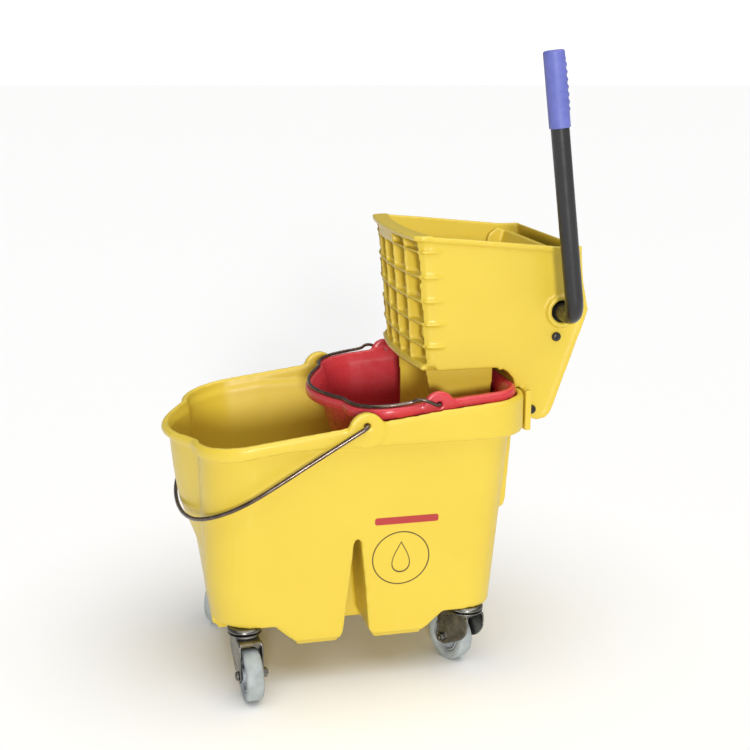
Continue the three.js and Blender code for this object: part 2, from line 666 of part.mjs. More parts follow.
// a closed skin through rings that lie in any planes, with a fan at each end
function skin(rings) {
  const count = rings[0].length;
  const centre = (r) => r.reduce((a, p) => a.add(p), new THREE.Vector3()).divideScalar(count);
  const points = [...rings.flat(), centre(rings[0]), centre(rings.at(-1))];
  const index = [];
  const [first, last] = [rings.length * count, rings.length * count + 1];
  const end = (rings.length - 1) * count;
  for (let j = 0; j < count; j++) {
    const k = (j + 1) % count;
    for (let i = 0; i + 1 < rings.length; i++) {
      const [a, b] = [i * count + j, i * count + k];
      index.push(a, b, b + count, a, b + count, a + count);
    }
    index.push(first, k, j, last, end + j, end + k);
  }
  const geometry = new THREE.BufferGeometry();
  const positions = points.flatMap((p) => [p.x, p.y, p.z]);
  geometry.setAttribute('position', new THREE.Float32BufferAttribute(positions, 3));
  geometry.setIndex(index);
  return geometry;
}

function makeGrip() {
  const { length, radius, wall } = GRIP;
  const bore = radius - wall;
  const profile = [
    [0, length], [radius - 3, length], [radius, length - 3], [radius, 0], [bore, 0], [bore, length - 4],
    [0, length - 4],
  ];
  const lean = radians(LEVER_LEAN);
  const reach = (LEVER_TOP - SHAFT.z) / Math.cos(lean) - length;
  const grip = turnedZ(profile.map(([r, z]) => [r, z + reach]).reverse(), 16);
  return grip.rotateY(-lean).translate(SHAFT.x, -LEVER_Y, SHAFT.z);
}

// a crank arm: two round ends joined by a bar, on the shaft at one end and the push bar at the other
function makeCrank(sy) {
  const y = sorted(sy * (ARM_Y - 3), sy * (ARM_Y + 3));
  const bar = { x: SHAFT.x + PUSH.dx, z: SHAFT.z + PUSH.dz };
  const [low, high] = [9, 7.5]; // half widths of the web at its two ends
  const web = [
    [SHAFT.x - low, SHAFT.z],
    [SHAFT.x + low, SHAFT.z],
    [bar.x + high, bar.z],
    [bar.x - high, bar.z],
  ];
  const body = join([
    solid(roundY(SHAFT.x, SHAFT.z, 14, y, 20)),
    solid(roundY(bar.x, bar.z, 8.5, y, 16)),
    solid(slab(web, y)),
  ]);
  return cut(body, [
    solid(roundY(SHAFT.x, SHAFT.z, SHAFT.radius + GAP, [-200, 200], 16)),
    solid(roundY(bar.x, bar.z, PUSH.radius + GAP, [-200, 200], 14)),
  ]);
}

// torsion spring round the shaft, its leg reaching down to the anchor rod
function makeSpring(sy) {
  const { turns, coil, radius, start, pitch } = { turns: 5, coil: 11.5, radius: 1.6, start: 46, pitch: 4.4 };
  const points = [];
  const perTurn = 8;
  const last = turns * perTurn;
  for (let i = 0; i <= last; i++) {
    const a = (2 * Math.PI * i) / perTurn;
    const y = sy * (start + (pitch * i) / perTurn);
    points.push([SHAFT.x - coil * Math.cos(a), y, SHAFT.z + coil * Math.sin(a)]);
  }
  const leg = [SHAFT.x - coil, sy * start, SHAFT.z - 28];
  return wire([leg, [SHAFT.x - coil, sy * start, SHAFT.z - 14], ...points], radius, 5, 2 + last);
}

// a rod between the side walls with a threaded hole in each end, and the bolts that hold it
function addRod(name, at, sides) {
  const reach = wallY(at.z) - WALL - GAP;
  const depth = 14;
  const bore = 2.8;
  const profile = [
    [0, -reach + depth], [bore, -reach + depth], [bore, -reach], [ROD_R + 2, -reach], [ROD_R + 2, reach],
    [bore, reach], [bore, reach - depth], [0, reach - depth],
  ];
  add(`${name}_rod`, turnedY(profile, at.x, at.z, sides), ZINC);
  for (const [side, sy] of [['near', -1], ['far', 1]]) {
    const wall = wallY(at.z);
    const head = [
      [0, wall + 5.4], [3.5, wall + 5.4], [6.5, wall + 3.6], [6.5, wall + GAP], [2.5, wall + GAP],
      [2.5, reach - depth + 4], [0, reach - depth + 4],
    ];
    const outline = head.map(([r, y]) => [r, sy * y]);
    add(`${name}_bolt_${side}`, turnedY(sy > 0 ? outline.reverse() : outline, at.x, at.z, 12), BLACK);
  }
}

// ---------------------------------------------------------------- the assembly
add('bucket', geometryOf(makeBucket()), YELLOW);
add('bucket_bail', makeBail(), WIRE);
add('inner_bucket', geometryOf(makeInnerBucket()), RED);
add('inner_bail', makeInnerBail(), WIRE);
for (const [where, caster] of Object.entries(CASTERS)) addCaster(where, caster);

add('wringer_housing', geometryOf(makeHousing()), YELLOW);
add('wringer_grid', geometryOf(makeGrid()), YELLOW);
addRod('anchor', ANCHOR, 12);
addRod('brace', BRACE, 12);
add('press_plate', makePlate(), YELLOW);
const hingeReach = wallY(PIVOT.z) - WALL + 1 - GAP;
add('plate_hinge_rod', roundY(PIVOT.x, PIVOT.z, ROD_R, [-hingeReach, hingeReach], 12), ZINC);

add('lever_tube', makeLeverTube(), BLACK);
add('lever_grip', makeGrip(), BLUE);
const bushIn = (HALF - WALL) * narrowing(SHAFT.z - 20) - GAP;
const nearBush = [[TUBE_R + GAP, -bushIn], [19, -bushIn], [19, -bushIn + 7], [TUBE_R + GAP, -bushIn + 7]];
add('lever_bush_near', turnedY(nearBush, SHAFT.x, SHAFT.z, 20, true), BLACK);
const shaftBore = SHAFT.radius + GAP;
const bushOut = wallY(SHAFT.z) + 7;
const farBush = [
  [shaftBore, bushIn - 4], [19, bushIn - 4], [19, bushIn], [HOLE_R - GAP, bushIn], [HOLE_R - GAP, bushOut],
  [shaftBore, bushOut],
];
add('shaft_bush_far', turnedY(farBush, SHAFT.x, SHAFT.z, 20, true), BLACK);
add('press_shaft', roundY(SHAFT.x, SHAFT.z, SHAFT.radius, [-112 + GAP, bushOut + 6], 14), ZINC);
const [clipIn, clipOut] = [bushOut + GAP, bushOut + 2.3];
const clip = [[shaftBore, clipIn], [13, clipIn], [13, clipOut], [shaftBore, clipOut]];
add('shaft_clip', turnedY(clip, SHAFT.x, SHAFT.z, 16, true), ZINC);
add('crank_arm_near', geometryOf(makeCrank(-1)), ZINC);
add('crank_arm_far', geometryOf(makeCrank(1)), ZINC);
const barHalf = ARM_Y + 5;
add('push_bar', roundY(SHAFT.x + PUSH.dx, SHAFT.z + PUSH.dz, PUSH.radius, [-barHalf, barHalf], 12), ZINC);
add('return_spring_near', makeSpring(-1), ZINC);
add('return_spring_far', makeSpring(1), ZINC);

export default model;
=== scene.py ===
"""The looks of a wheeled mop bucket with an inner bucket and a side-press wringer.

Shapes are written in millimetres in the working frame of the part's design, whose X = 0 lies midway
between the casters, and to_frame() turns them into metres in the row frame.
"""

import math
from collections import namedtuple

import bmesh
import bpy
import numpy as np
from mathutils import Matrix, Vector
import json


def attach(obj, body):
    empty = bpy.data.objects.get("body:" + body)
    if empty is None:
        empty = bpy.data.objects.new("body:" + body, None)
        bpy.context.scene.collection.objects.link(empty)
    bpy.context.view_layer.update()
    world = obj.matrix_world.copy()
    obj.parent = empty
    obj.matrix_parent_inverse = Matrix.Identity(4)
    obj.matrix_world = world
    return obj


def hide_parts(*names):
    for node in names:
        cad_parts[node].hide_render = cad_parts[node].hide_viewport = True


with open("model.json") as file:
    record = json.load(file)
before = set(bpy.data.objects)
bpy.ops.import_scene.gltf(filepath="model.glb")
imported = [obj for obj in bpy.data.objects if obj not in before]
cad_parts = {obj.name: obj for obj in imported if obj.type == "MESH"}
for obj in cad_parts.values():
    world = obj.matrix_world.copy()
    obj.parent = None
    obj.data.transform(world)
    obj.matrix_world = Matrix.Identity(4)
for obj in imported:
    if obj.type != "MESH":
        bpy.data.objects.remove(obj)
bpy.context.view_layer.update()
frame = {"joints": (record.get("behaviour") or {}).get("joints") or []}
JOINTS = {joint["name"]: joint for joint in frame["joints"]}

MM = 0.001
TOOLS = bpy.context.scene.collection

# -------- driving dimensions, in millimetres
GAP = 0.3  # between pieces that touch
WALL = 4.0  # moulded wall
EAR = {"x": 2.5, "z": 400.0, "radius": 25.0, "top": 418.0, "face": 190.6, "hole": 4.2}
MIDDLE_X = EAR["x"] - JOINTS["bucket_bail_swing"]["pos_m"][0] / MM

Outline = namedtuple("Outline", "half front spout rear front_radius rear_radius")
BUCKET = Outline(188.6, -228.0, 36.0, 241.0, 80.0, 60.0)
RIM_TOP = 401.5  # height of the rim at X = 0
RIM_SLOPE = 0.133  # its rise towards the wringer
RIM_SAG = (60.0, 0.0003)  # where and how fast that rise eases off
SKIRT = {"z": 370.0, "drop": 14.0, "side": 95.0, "spout": 205.0}  # lower edge of the rim skirt
BODY = {"half": 178.0, "side_draft": 0.1037, "rear": 222.0, "rear_draft": 0.07}  # walls at the skirt
BASE_Z = 63.5
FLOOR_Z = 74.0
POCKET = {"z": 100.0, "x": 125.0, "y": 62.0, "foot": 92.0}
RIB = {"y": 118.0, "half": 4.0, "z": 243.0, "proud": 10.0}
LUGS = {"x": (60, 190), "half": 9, "y": (161.5, 178.5)}  # they carry the inner bucket
BAIL_R = 3.0
BAIL_DROP = 31.0  # degrees below level, lying on the spout
BAIL_REACH = 290.5

INNER = Outline(172.5, -15.0, 34.0, 229.0, 62.0, 40.0)
INNER_TOP = 414.0  # height of the rim at X = 0
INNER_SLOPE = 0.09  # its rise towards the wringer
INNER_LIP = 16.0
INNER_BASE = 142.0
INNER_WALL = 3.5
INNER_EAR = {"x": 108.0, "z": 419.5, "radius": 22.0, "top": 438.0, "face": 173.5, "hole": 3.4}
INNER_BAIL_R = 2.5

STEM = (164.5, 129.0)
WHEEL = {"radius": 37.5, "width": 25.0, "trail": 33.0}
CASTERS = ("front_near", "front_far", "rear_near", "rear_far")
SIDES = (("near", -1), ("far", 1))

HALF = 134.0  # half width of the housing at its top edge
TOP_Z = 647.0
TAPER = 7 / 190 / HALF  # how fast it narrows downwards
GRID = {"front": 85.0, "bulge": 12.0, "deep": 20.0, "lean": 0.0753, "low": 461.0}
GRID_ROWS = (645, 624, 589, 555, 522, 490)
CHUTE = {"half": 92.0, "low": 330.0, "foot": (115.0, 204.0), "rear": 210.0}
BOX_FLOOR = 455.0
REARMOST = 337.0
SADDLE = {"x": (241.6, 245.9), "side": 251, "half": 146, "thick": 4, "z": (365, 424)}  # over the bucket's rim
SHAFT = (297.0, 534.0)
SHAFT_R = 8.0
BOSS_R = 23.0
HOLE_R = 15.5
PIVOT = (258.0, 472.0)
BRACE = (258.0, 390.5)
ANCHOR = (290.5, 497.0)
CROSS_RODS = (("anchor", ANCHOR), ("brace", BRACE))
ROD_R = 4.0
PUSH = (SHAFT[0] + 4.5, SHAFT[1] + 56.0)  # push bar
PUSH_R = 6.0
ARM_Y = 95.0
TUBE_R = 12.5
LEVER_Y = 183.0
LEVER_LEAN = 7.3  # degrees towards the spout
LEVER_TOP = 890.6
GRIP = {"length": 100.0, "radius": 14.3, "wall": 1.5}
PLATE = {"half": 118, "high": 150, "face": -5, "back": 1, "rib": 5, "cheek": -28, "lean": 14.6}


def radians_of(degrees):
    return degrees * math.pi / 180


def to_frame(point):
    x, y, z = point
    return ((x - MIDDLE_X) * MM, y * MM, z * MM)


# -------- camera, floor and light
CAMERA = {"lens": 58.23, "place": (-0.3654, -1.7204, 0.8702), "down": 14.28, "turn": -12.58}


def add_camera():
    data = bpy.data.cameras.new("camera")
    data.sensor_width = 36
    data.lens = CAMERA["lens"]
    data.clip_end = 100
    camera = bpy.data.objects.new("camera", data)
    camera.location = CAMERA["place"]
    camera.rotation_euler = (radians_of(90 - CAMERA["down"]), 0, radians_of(CAMERA["turn"]))
    bpy.context.scene.collection.objects.link(camera)
    bpy.context.scene.camera = camera


def add_sun(name, direction, strength, angle, color):
    data = bpy.data.lights.new(name, "SUN")
    data.energy = strength
    data.angle = radians_of(angle)
    data.color = color
    light = bpy.data.objects.new(name, data)
    light.rotation_euler = Vector(direction).to_track_quat("Z", "Y").to_euler()
    bpy.context.scene.collection.objects.link(light)


def add_world(ambient, backdrop):
    """A pale room that gives a little light, and a white one behind the object."""
    world = bpy.data.worlds.new("studio")
    world.use_nodes = True
    nodes, links = world.node_tree.nodes, world.node_tree.links
    nodes.clear()
    output = nodes.new("ShaderNodeOutputWorld")
    mix = nodes.new("ShaderNodeMixShader")
    path = nodes.new("ShaderNodeLightPath")
    for socket, color, strength in ((1, (1.0, 0.995, 0.985, 1), ambient), (2, (1, 1, 1, 1), backdrop)):
        light = nodes.new("ShaderNodeBackground")
        light.inputs["Color"].default_value = color
        light.inputs["Strength"].default_value = strength
        links.new(light.outputs[0], mix.inputs[socket])
    links.new(path.outputs["Is Camera Ray"], mix.inputs["Fac"])
    links.new(mix.outputs[0], output.inputs["Surface"])
    bpy.context.scene.world = world


def add_floor():
    bpy.ops.mesh.primitive_circle_add(vertices=96, radius=60, fill_type="NGON", location=(0, 0, 0))
    floor = bpy.context.object
    floor.name = "floor"
    material, _, shader = new_material("floor_paper")
    shader.inputs["Base Color"].default_value = (0.95, 0.95, 0.95, 1)
    shader.inputs["Roughness"].default_value = 0.9
    shader.inputs["Specular IOR Level"].default_value = 0.1
    floor.data.materials.append(material)


# -------- materials
def new_material(name):
    material = bpy.data.materials.new(name)
    material.use_nodes = True
    tree = material.node_tree
    return material, tree, tree.nodes["Principled BSDF"]


def noise(tree, scale, detail=2.0, stretch=(1, 1, 1)):
    """A noise over the object's own coordinates, which are metres in the row frame."""
    where = tree.nodes.new("ShaderNodeTexCoord")
    mapping = tree.nodes.new("ShaderNodeMapping")
    mapping.inputs["Scale"].default_value = stretch
    texture = tree.nodes.new("ShaderNodeTexNoise")
    texture.inputs["Scale"].default_value = scale
    texture.inputs["Detail"].default_value = detail
    tree.links.new(where.outputs["Object"], mapping.inputs["Vector"])
    tree.links.new(mapping.outputs["Vector"], texture.inputs["Vector"])
    return texture.outputs["Fac"]


def ramp(tree, value, stops):
    """A colour between two (position, colour) stops."""
    node = tree.nodes.new("ShaderNodeValToRGB")
    for element, (position, color) in zip(node.color_ramp.elements, stops):
        element.position, element.color = position, (*color, 1)
    tree.links.new(value, node.inputs["Fac"])
    return node.outputs["Color"]


def remap(tree, value, low, high, to_low, to_high):
    node = tree.nodes.new("ShaderNodeMapRange")
    for name, number in (("From Min", low), ("From Max", high), ("To Min", to_low), ("To Max", to_high)):
        node.inputs[name].default_value = number
    tree.links.new(value, node.inputs["Value"])
    return node.outputs["Result"]


def mixed(tree, factor, base, over):
    """A plain colour laid over the base by a factor."""
    node = tree.nodes.new("ShaderNodeMix")
    node.data_type = "RGBA"
    tree.links.new(factor, node.inputs[0])
    tree.links.new(base, node.inputs[6])
    node.inputs[7].default_value = (*over, 1)
    return node.outputs[2]


def bump(tree, heights, distance):
    """Bumps stacked from (height, strength) pairs."""
    normal = None
    for height, strength in heights:
        node = tree.nodes.new("ShaderNodeBump")
        node.inputs["Strength"].default_value = strength
        node.inputs["Distance"].default_value = distance
        tree.links.new(height, node.inputs["Height"])
        if normal is not None:
            tree.links.new(normal, node.inputs["Normal"])
        normal = node.outputs["Normal"]
    return normal


# A look is a material with the name of a slot, which finished() does not use.
def plastic(name, color, deep, pale, roughness, grain=0.12):
    """Moulded plastic: slow drifts of colour, a fine skin, and convex edges painted paler as a highlight."""
    material, tree, shader = new_material(name)
    drift = noise(tree, 7.0, 3.0)
    base = ramp(tree, drift, [(0.3, deep), (0.62, color)])
    # convex edges are painted paler: a painted highlight along rims and edges
    edges = tree.nodes.new("ShaderNodeNewGeometry").outputs["Pointiness"]
    edge_highlight = remap(tree, edges, 0.515, 0.56, 0.0, 0.35)
    base = mixed(tree, edge_highlight, base, pale)
    scuffs = noise(tree, 26.0, 5.0, (1.0, 1.0, 0.22))
    scuffed = remap(tree, scuffs, 0.64, 0.78, 0.0, 0.25)
    base = mixed(tree, scuffed, base, pale)
    tree.links.new(base, shader.inputs["Base Color"])
    skin = noise(tree, 900.0, 2.0)
    wave = noise(tree, 38.0, 2.0)
    rough = noise(tree, 60.0, 4.0)
    rough = remap(tree, rough, 0.3, 0.7, roughness - 0.05, roughness + 0.07)
    tree.links.new(rough, shader.inputs["Roughness"])
    tree.links.new(bump(tree, [(wave, 0.10), (skin, grain)], 0.0006), shader.inputs["Normal"])
    shader.inputs["IOR"].default_value = 1.49
    shader.inputs["Specular IOR Level"].default_value = 0.5
    return material, name


def metal(name, color, tint, roughness, metallic=1.0):
    """Plated or drawn metal: mottled tint, streaked roughness and a faint relief."""
    material, tree, shader = new_material(name)
    mottle = noise(tree, 55.0, 4.0)
    tree.links.new(ramp(tree, mottle, [(0.35, tint), (0.65, color)]), shader.inputs["Base Color"])
    streak = noise(tree, 240.0, 3.0)
    rough = remap(tree, streak, 0.3, 0.7, roughness - 0.08, roughness + 0.1)
    tree.links.new(rough, shader.inputs["Roughness"])
    tree.links.new(bump(tree, [(streak, 0.12)], 0.0003), shader.inputs["Normal"])
    shader.inputs["Metallic"].default_value = metallic
    return material, name


def rubber(name, color, dark, roughness, grain):
    """Matt rubber or vinyl with a little dirt in it."""
    material, tree, shader = new_material(name)
    dirt = noise(tree, 48.0, 5.0)
    tree.links.new(ramp(tree, dirt, [(0.32, dark), (0.6, color)]), shader.inputs["Base Color"])
    skin = noise(tree, 700.0, 3.0)
    rough = remap(tree, skin, 0.3, 0.7, roughness - 0.08, roughness + 0.08)
    tree.links.new(rough, shader.inputs["Roughness"])
    tree.links.new(bump(tree, [(dirt, 0.1), (skin, grain)], 0.0006), shader.inputs["Normal"])
    return material, name


# the fourth colour of each plastic paints the highlight on convex edges and also tints the pale scuffs
YELLOW = plastic("yellow_plastic", (0.7, 0.52, 0.05), (0.675, 0.49, 0.043), (0.75, 0.61, 0.12), 0.34)
RED = plastic("red_plastic", (0.6, 0.045, 0.058), (0.56, 0.038, 0.05), (0.7, 0.1, 0.11), 0.26)
ZINC = metal("zinc_plate", (0.26, 0.255, 0.235), (0.13, 0.126, 0.115), 0.32)
WIRE = metal("bail_wire", (0.17, 0.13, 0.11), (0.1, 0.075, 0.062), 0.24, metallic=0.85)
STEEL = metal("spring_steel", (0.5, 0.5, 0.5), (0.36, 0.36, 0.36), 0.3)
TUBE = plastic("black_tube", (0.022, 0.022, 0.023), (0.016, 0.016, 0.017), (0.05, 0.05, 0.05), 0.3, 0.05)
BOLT = plastic("black_bolt", (0.03, 0.025, 0.022), (0.02, 0.016, 0.015), (0.1, 0.09, 0.08), 0.34)
BUSH = plastic("black_bush", (0.02, 0.02, 0.02), (0.015, 0.015, 0.015), (0.04, 0.04, 0.04), 0.45)
GRIP_SKIN = rubber("blue_grip", (0.145, 0.165, 0.5), (0.115, 0.135, 0.44), 0.5, 0.2)
HUB = rubber("wheel_hub", (0.36, 0.39, 0.42), (0.28, 0.31, 0.34), 0.42, 0.1)
TYRE = rubber("grey_tyre", (0.37, 0.41, 0.41), (0.27, 0.3, 0.3), 0.6, 0.25)
PRINT_RED, _ = plastic("label_red", (0.4, 0.02, 0.02), (0.36, 0.017, 0.017), (0.46, 0.06, 0.05), 0.4)
PRINT_BROWN, _ = plastic("label_brown", (0.09, 0.05, 0.01), (0.07, 0.04, 0.01), (0.15, 0.1, 0.03), 0.4)
LABEL_RED = (PRINT_RED, "red_plastic")
LABEL_BROWN = (PRINT_BROWN, "black_bush")


# -------- solids
def closed_mesh(points, faces, lathed=False):
    """A closed mesh object from points in metres, with its faces pointing out."""
    mesh = bpy.data.meshes.new("solid")
    mesh.from_pydata(points, [], faces)
    build = bmesh.new()
    build.from_mesh(mesh)
    bmesh.ops.remove_doubles(build, verts=build.verts, dist=1e-7)
    if lathed:
        bmesh.ops.dissolve_degenerate(build, edges=build.edges, dist=1e-7)
    bmesh.ops.recalc_face_normals(build, faces=build.faces)
    build.to_mesh(mesh)
    build.free()
    piece = bpy.data.objects.new("solid", mesh)
    TOOLS.objects.link(piece)
    return piece


def solid(points, faces):
    """A closed mesh object from working-frame points."""
    return closed_mesh([to_frame(p) for p in points], faces)


def bake(piece):
    """Applies the modifiers to the mesh."""
    graph = bpy.context.evaluated_depsgraph_get()
    mesh = bpy.data.meshes.new_from_object(piece.evaluated_get(graph))
    piece.modifiers.clear()
    old = piece.data
    piece.data = mesh
    bpy.data.meshes.remove(old)


def combined(body, tools, operation):
    for tool in tools:
        step = body.modifiers.new("step", "BOOLEAN")
        step.operation = operation
        step.solver = "MANIFOLD"
        step.object = tool
    bake(body)
    for tool in tools:
        bpy.data.objects.remove(tool)
    return body


def join(parts):
    return combined(parts[0], parts[1:], "UNION") if len(parts) > 1 else parts[0]


def cut(body, tools):
    return combined(body, tools, "DIFFERENCE")


def both_sides(make):
    return [make(-1), make(1)]


def smooth_faces(piece):
    piece.data.polygons.foreach_set("use_smooth", [True] * len(piece.data.polygons))
    return piece


def moulded(piece, voxel, passes, most=None):
    """Even faces all over and soft edges, as on a moulding."""
    even = piece.modifiers.new("even", "REMESH")
    even.mode = "VOXEL"
    even.voxel_size = voxel * MM
    soft = piece.modifiers.new("soft", "SMOOTH")
    soft.factor = 0.5
    soft.iterations = passes
    bake(piece)
    count = 2 * len(piece.data.polygons)
    if most and count > most:
        thin = piece.modifiers.new("thin", "DECIMATE")
        thin.ratio = most / count
        bake(piece)
    smooth_faces(piece)


def bevelled(piece, width):
    edge = piece.modifiers.new("edge", "BEVEL")
    edge.width = width * MM
    edge.segments = 3
    edge.limit_method = "ANGLE"
    edge.angle_limit = radians_of(30)
    edge.harden_normals = True
    bake(smooth_faces(piece))


def finished(piece, name, body, look, *nodes):
    """Names a piece, gives it its look and hands it to its body."""
    material, slot = look
    piece.name = name
    piece.data.name = name
    piece.data.materials.clear()
    piece.data.materials.append(material)
    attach(piece, body)
    if nodes:
        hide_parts(*nodes)


def block(x, y, z):
    points = [(a, b, c) for a in x for b in y for c in z]
    faces = [(0, 1, 3, 2), (4, 6, 7, 5), (0, 4, 5, 1), (2, 3, 7, 6), (0, 2, 6, 4), (1, 5, 7, 3)]
    return solid(points, faces)


def slab(outline, y):
    """A side outline of (x, z) points swept along Y."""
    count = len(outline)
    points = [(px, depth, pz) for depth in y for px, pz in outline]
    faces = [(i, (i + 1) % count, count + (i + 1) % count, count + i) for i in range(count)]
    faces += [tuple(range(count)), tuple(range(count, 2 * count))]
    return solid(points, faces)


def skin(rings):
    """A closed skin through rings of points that all have the same count."""
    count = len(rings[0])
    points = [tuple(p) for loop in rings for p in loop]
    faces = []
    for i in range(len(rings) - 1):
        for j in range(count):
            a, b = i * count + j, i * count + (j + 1) % count
            faces.append((a, b, b + count, a + count))
    last = (len(rings) - 1) * count
    faces += [tuple(range(count)), tuple(range(last, last + count))]
    return solid(points, faces)


def circle(radius, steps):
    turn = np.arange(steps) * 2 * np.pi / steps
    return np.column_stack([radius * np.cos(turn), radius * np.sin(turn)])


def turned(profile, steps, ring=False):
    """A lathe about Z from (radius, z) points. A ring closes on itself, and anything else starts and ends
    on the axis."""
    points, faces = [], []
    count = len(profile)
    for k in range(steps):
        a = 2 * math.pi * k / steps
        points += [(r * math.cos(a), r * math.sin(a), z) for r, z in profile]
    spans = count if ring else count - 1
    for k in range(steps):
        for i in range(spans):
            a, b = k * count + i, k * count + (i + 1) % count
            c, d = ((k + 1) % steps) * count + (i + 1) % count, ((k + 1) % steps) * count + i
            faces.append((a, b, c, d))
    return closed_mesh([tuple(MM * c for c in p) for p in points], faces, True)


def moved(piece, matrix):
    piece.data.transform(matrix)
    return piece


def along_y(piece, at):
    """Turns a Z lathe so that its axis lies along Y through the working-frame point (x, z)."""
    place = Matrix.Translation(Vector(to_frame((at[0], 0, at[1]))))
    return moved(piece, place @ Matrix.Rotation(-math.pi / 2, 4, "X"))


def rounded(profile, radius, steps=4, ring=False):
    """The profile with its corners rounded, except its two ends on an open one."""
    count = len(profile)
    out = []
    for i, corner in enumerate(profile):
        if not ring and i in (0, count - 1):
            out.append(corner)
            continue
        p = Vector(corner)
        a, b = Vector(profile[i - 1]) - p, Vector(profile[(i + 1) % count]) - p
        reach = min(radius, 0.48 * a.length, 0.48 * b.length)
        start, end = p + a.normalized() * reach, p + b.normalized() * reach
        for k in range(steps + 1):
            t = k / steps
            q = start * (1 - t) ** 2 + p * (2 * t * (1 - t)) + end * t**2
            out.append(tuple(q))
    return out


def disc(at, radius, y, steps=64):
    """A plain cylinder along Y, for joining and cutting."""
    outline = [(at[0] + px, at[1] + pz) for px, pz in circle(radius, steps)]
    return slab(outline, y)


def discs(at, radius, start, end, steps=64):
    """The same cylinder on both sides, between two distances from the middle plane."""
    return both_sides(lambda sy: disc(at, radius, ordered(sy * start, sy * end), steps))


def post(at, radius, z, steps):
    """A plain cylinder along Z, for cutting."""
    return skin([[(at[0] + px, at[1] + py, level) for px, py in circle(radius, steps)] for level in z])


def mirrored(half):
    """A half profile and its mirror image beyond the middle plane."""
    return half + [(radius, -y) for radius, y in reversed(half)]


def axle(profile, radius, steps, sides, at, closed=False):
    """A lathe about Y through the working-frame point (x, z), with its corners rounded."""
    return smooth_faces(along_y(turned(rounded(profile, radius, steps, closed), sides, closed), at))


def ear(shape, thick):
    """The two round ears that a handle hangs in, with their faces at the shape's own."""
    at = (shape["x"], shape["top"] - shape["radius"])
    return discs(at, shape["radius"], shape["face"] - thick, shape["face"])


def ordered(a, b):
    return (a, b) if a < b else (b, a)


# -------- tubes along curves
def curve_through(points, per_span):
    """A centripetal Catmull-Rom curve through the points."""
    p = [np.array(q, float) for q in points]
    p = [2 * p[0] - p[1], *p, 2 * p[-1] - p[-2]]
    out = []
    for i in range(1, len(p) - 2):
        p0, p1, p2, p3 = p[i - 1 : i + 3]
        d0, d1, d2 = (max(np.linalg.norm(b - a), 1e-6) ** 0.5 for a, b in ((p0, p1), (p1, p2), (p2, p3)))
        start = ((p1 - p0) / d0 - (p2 - p0) / (d0 + d1) + (p2 - p1) / d1) * d1
        end = ((p2 - p1) / d1 - (p3 - p1) / (d1 + d2) + (p3 - p2) / d2) * d1
        square, cube = 3 * (p2 - p1) - 2 * start - end, 2 * (p1 - p2) + start + end
        for k in range(per_span):
            t = k / per_span
            out.append(p1 + start * t + square * t**2 + cube * t**3)
    out.append(p[-2])
    return out


def unit(vector):
    return vector / np.linalg.norm(vector)


def tube(points, radii, sides):
    """A closed round tube along the points, each with its own radius, with no twist."""
    points = [np.array(q, float) for q in points]
    rings = []
    across = None
    for i, point in enumerate(points):
        ahead = unit(points[min(i + 1, len(points) - 1)] - points[max(i - 1, 0)])
        if across is None:
            across = np.array([0.0, 0.0, 1.0]) if abs(ahead[2]) < 0.9 else np.array([1.0, 0.0, 0.0])
        across = unit(across - ahead * (across @ ahead))
        third = np.cross(ahead, across)
        radius = radii if np.isscalar(radii) else radii[i]
        rings.append([point + radius * (c * across + s * third) for c, s in circle(1.0, sides)])
    return smooth_faces(skin(rings))


def rod(points, radius, sides):
    """A tube along the points whose two ends are domed."""
    points = [np.array(q, float) for q in points]
    dome = [0.97, 0.8, 0.55, 0.25]
    first, last = unit(points[0] - points[1]), unit(points[-1] - points[-2])
    heads = [points[0] + first * radius * math.sqrt(1 - r * r) for r in reversed(dome)]
    tails = [points[-1] + last * radius * math.sqrt(1 - r * r) for r in dome]
    radii = [radius * r for r in reversed(dome)] + [radius] * len(points) + [radius * r for r in dome]
    return tube([*heads, *points, *tails], radii, sides)


# -------- bucket outlines
SPOUT_STEPS = 26
CORNER_STEPS = 14
TIGHTEST = 18.0


def plan(outline):
    """A rounded box in plan with a pouring spout at its front, counter-clockwise from the spout's tip."""
    half, front, spout, rear, front_radius, rear_radius = outline
    shoulder = half - front_radius - 3
    side = []
    for t in np.linspace(0, 1, SPOUT_STEPS + 1):
        side.append((front - spout * (1 - t * t) ** 1.25, -shoulder * t))
    for a in np.linspace(0, math.pi / 2, CORNER_STEPS + 1):
        side.append((front + front_radius * (1 - math.cos(a)), -(half - front_radius * (1 - math.sin(a)))))
    start, end = front + front_radius, rear - rear_radius
    for t in (0.15, 0.45, 0.75):
        side.append((start + t * (end - start), -half))
    for a in np.linspace(0, math.pi / 2, CORNER_STEPS + 1):
        side.append((rear - rear_radius * (1 - math.sin(a)), -(half - rear_radius * (1 - math.cos(a)))))
    return side + [(x, -y) for x, y in reversed(side[1:])]


def inset(outline, by):
    return outline._replace(
        half=outline.half - by,
        front=outline.front + by,
        rear=outline.rear - by,
        front_radius=max(outline.front_radius - by, TIGHTEST),
        rear_radius=max(outline.rear_radius - by, TIGHTEST),
    )


def ring(outline, height):
    """The outline's points at a height, which is a number or a function of x."""
    level = height if callable(height) else lambda x: height
    return [(x, y, level(x)) for x, y in plan(outline)]


def rim_top(x):
    return RIM_TOP + RIM_SLOPE * x - RIM_SAG[1] * max(x - RIM_SAG[0], 0) ** 2


def inner_top(x):
    return INNER_TOP + INNER_SLOPE * x


def inner_low(x):
    return inner_top(x) - INNER_LIP


def smoothstep(value, low, high):
    t = min(max((value - low) / (high - low), 0), 1)
    return t * t * (3 - 2 * t)


def skirt_low(x):
    return SKIRT["z"] - SKIRT["drop"] * smoothstep(-x, SKIRT["side"], SKIRT["spout"])


def body_half(z):
    return BODY["half"] - BODY["side_draft"] * (SKIRT["z"] - z)


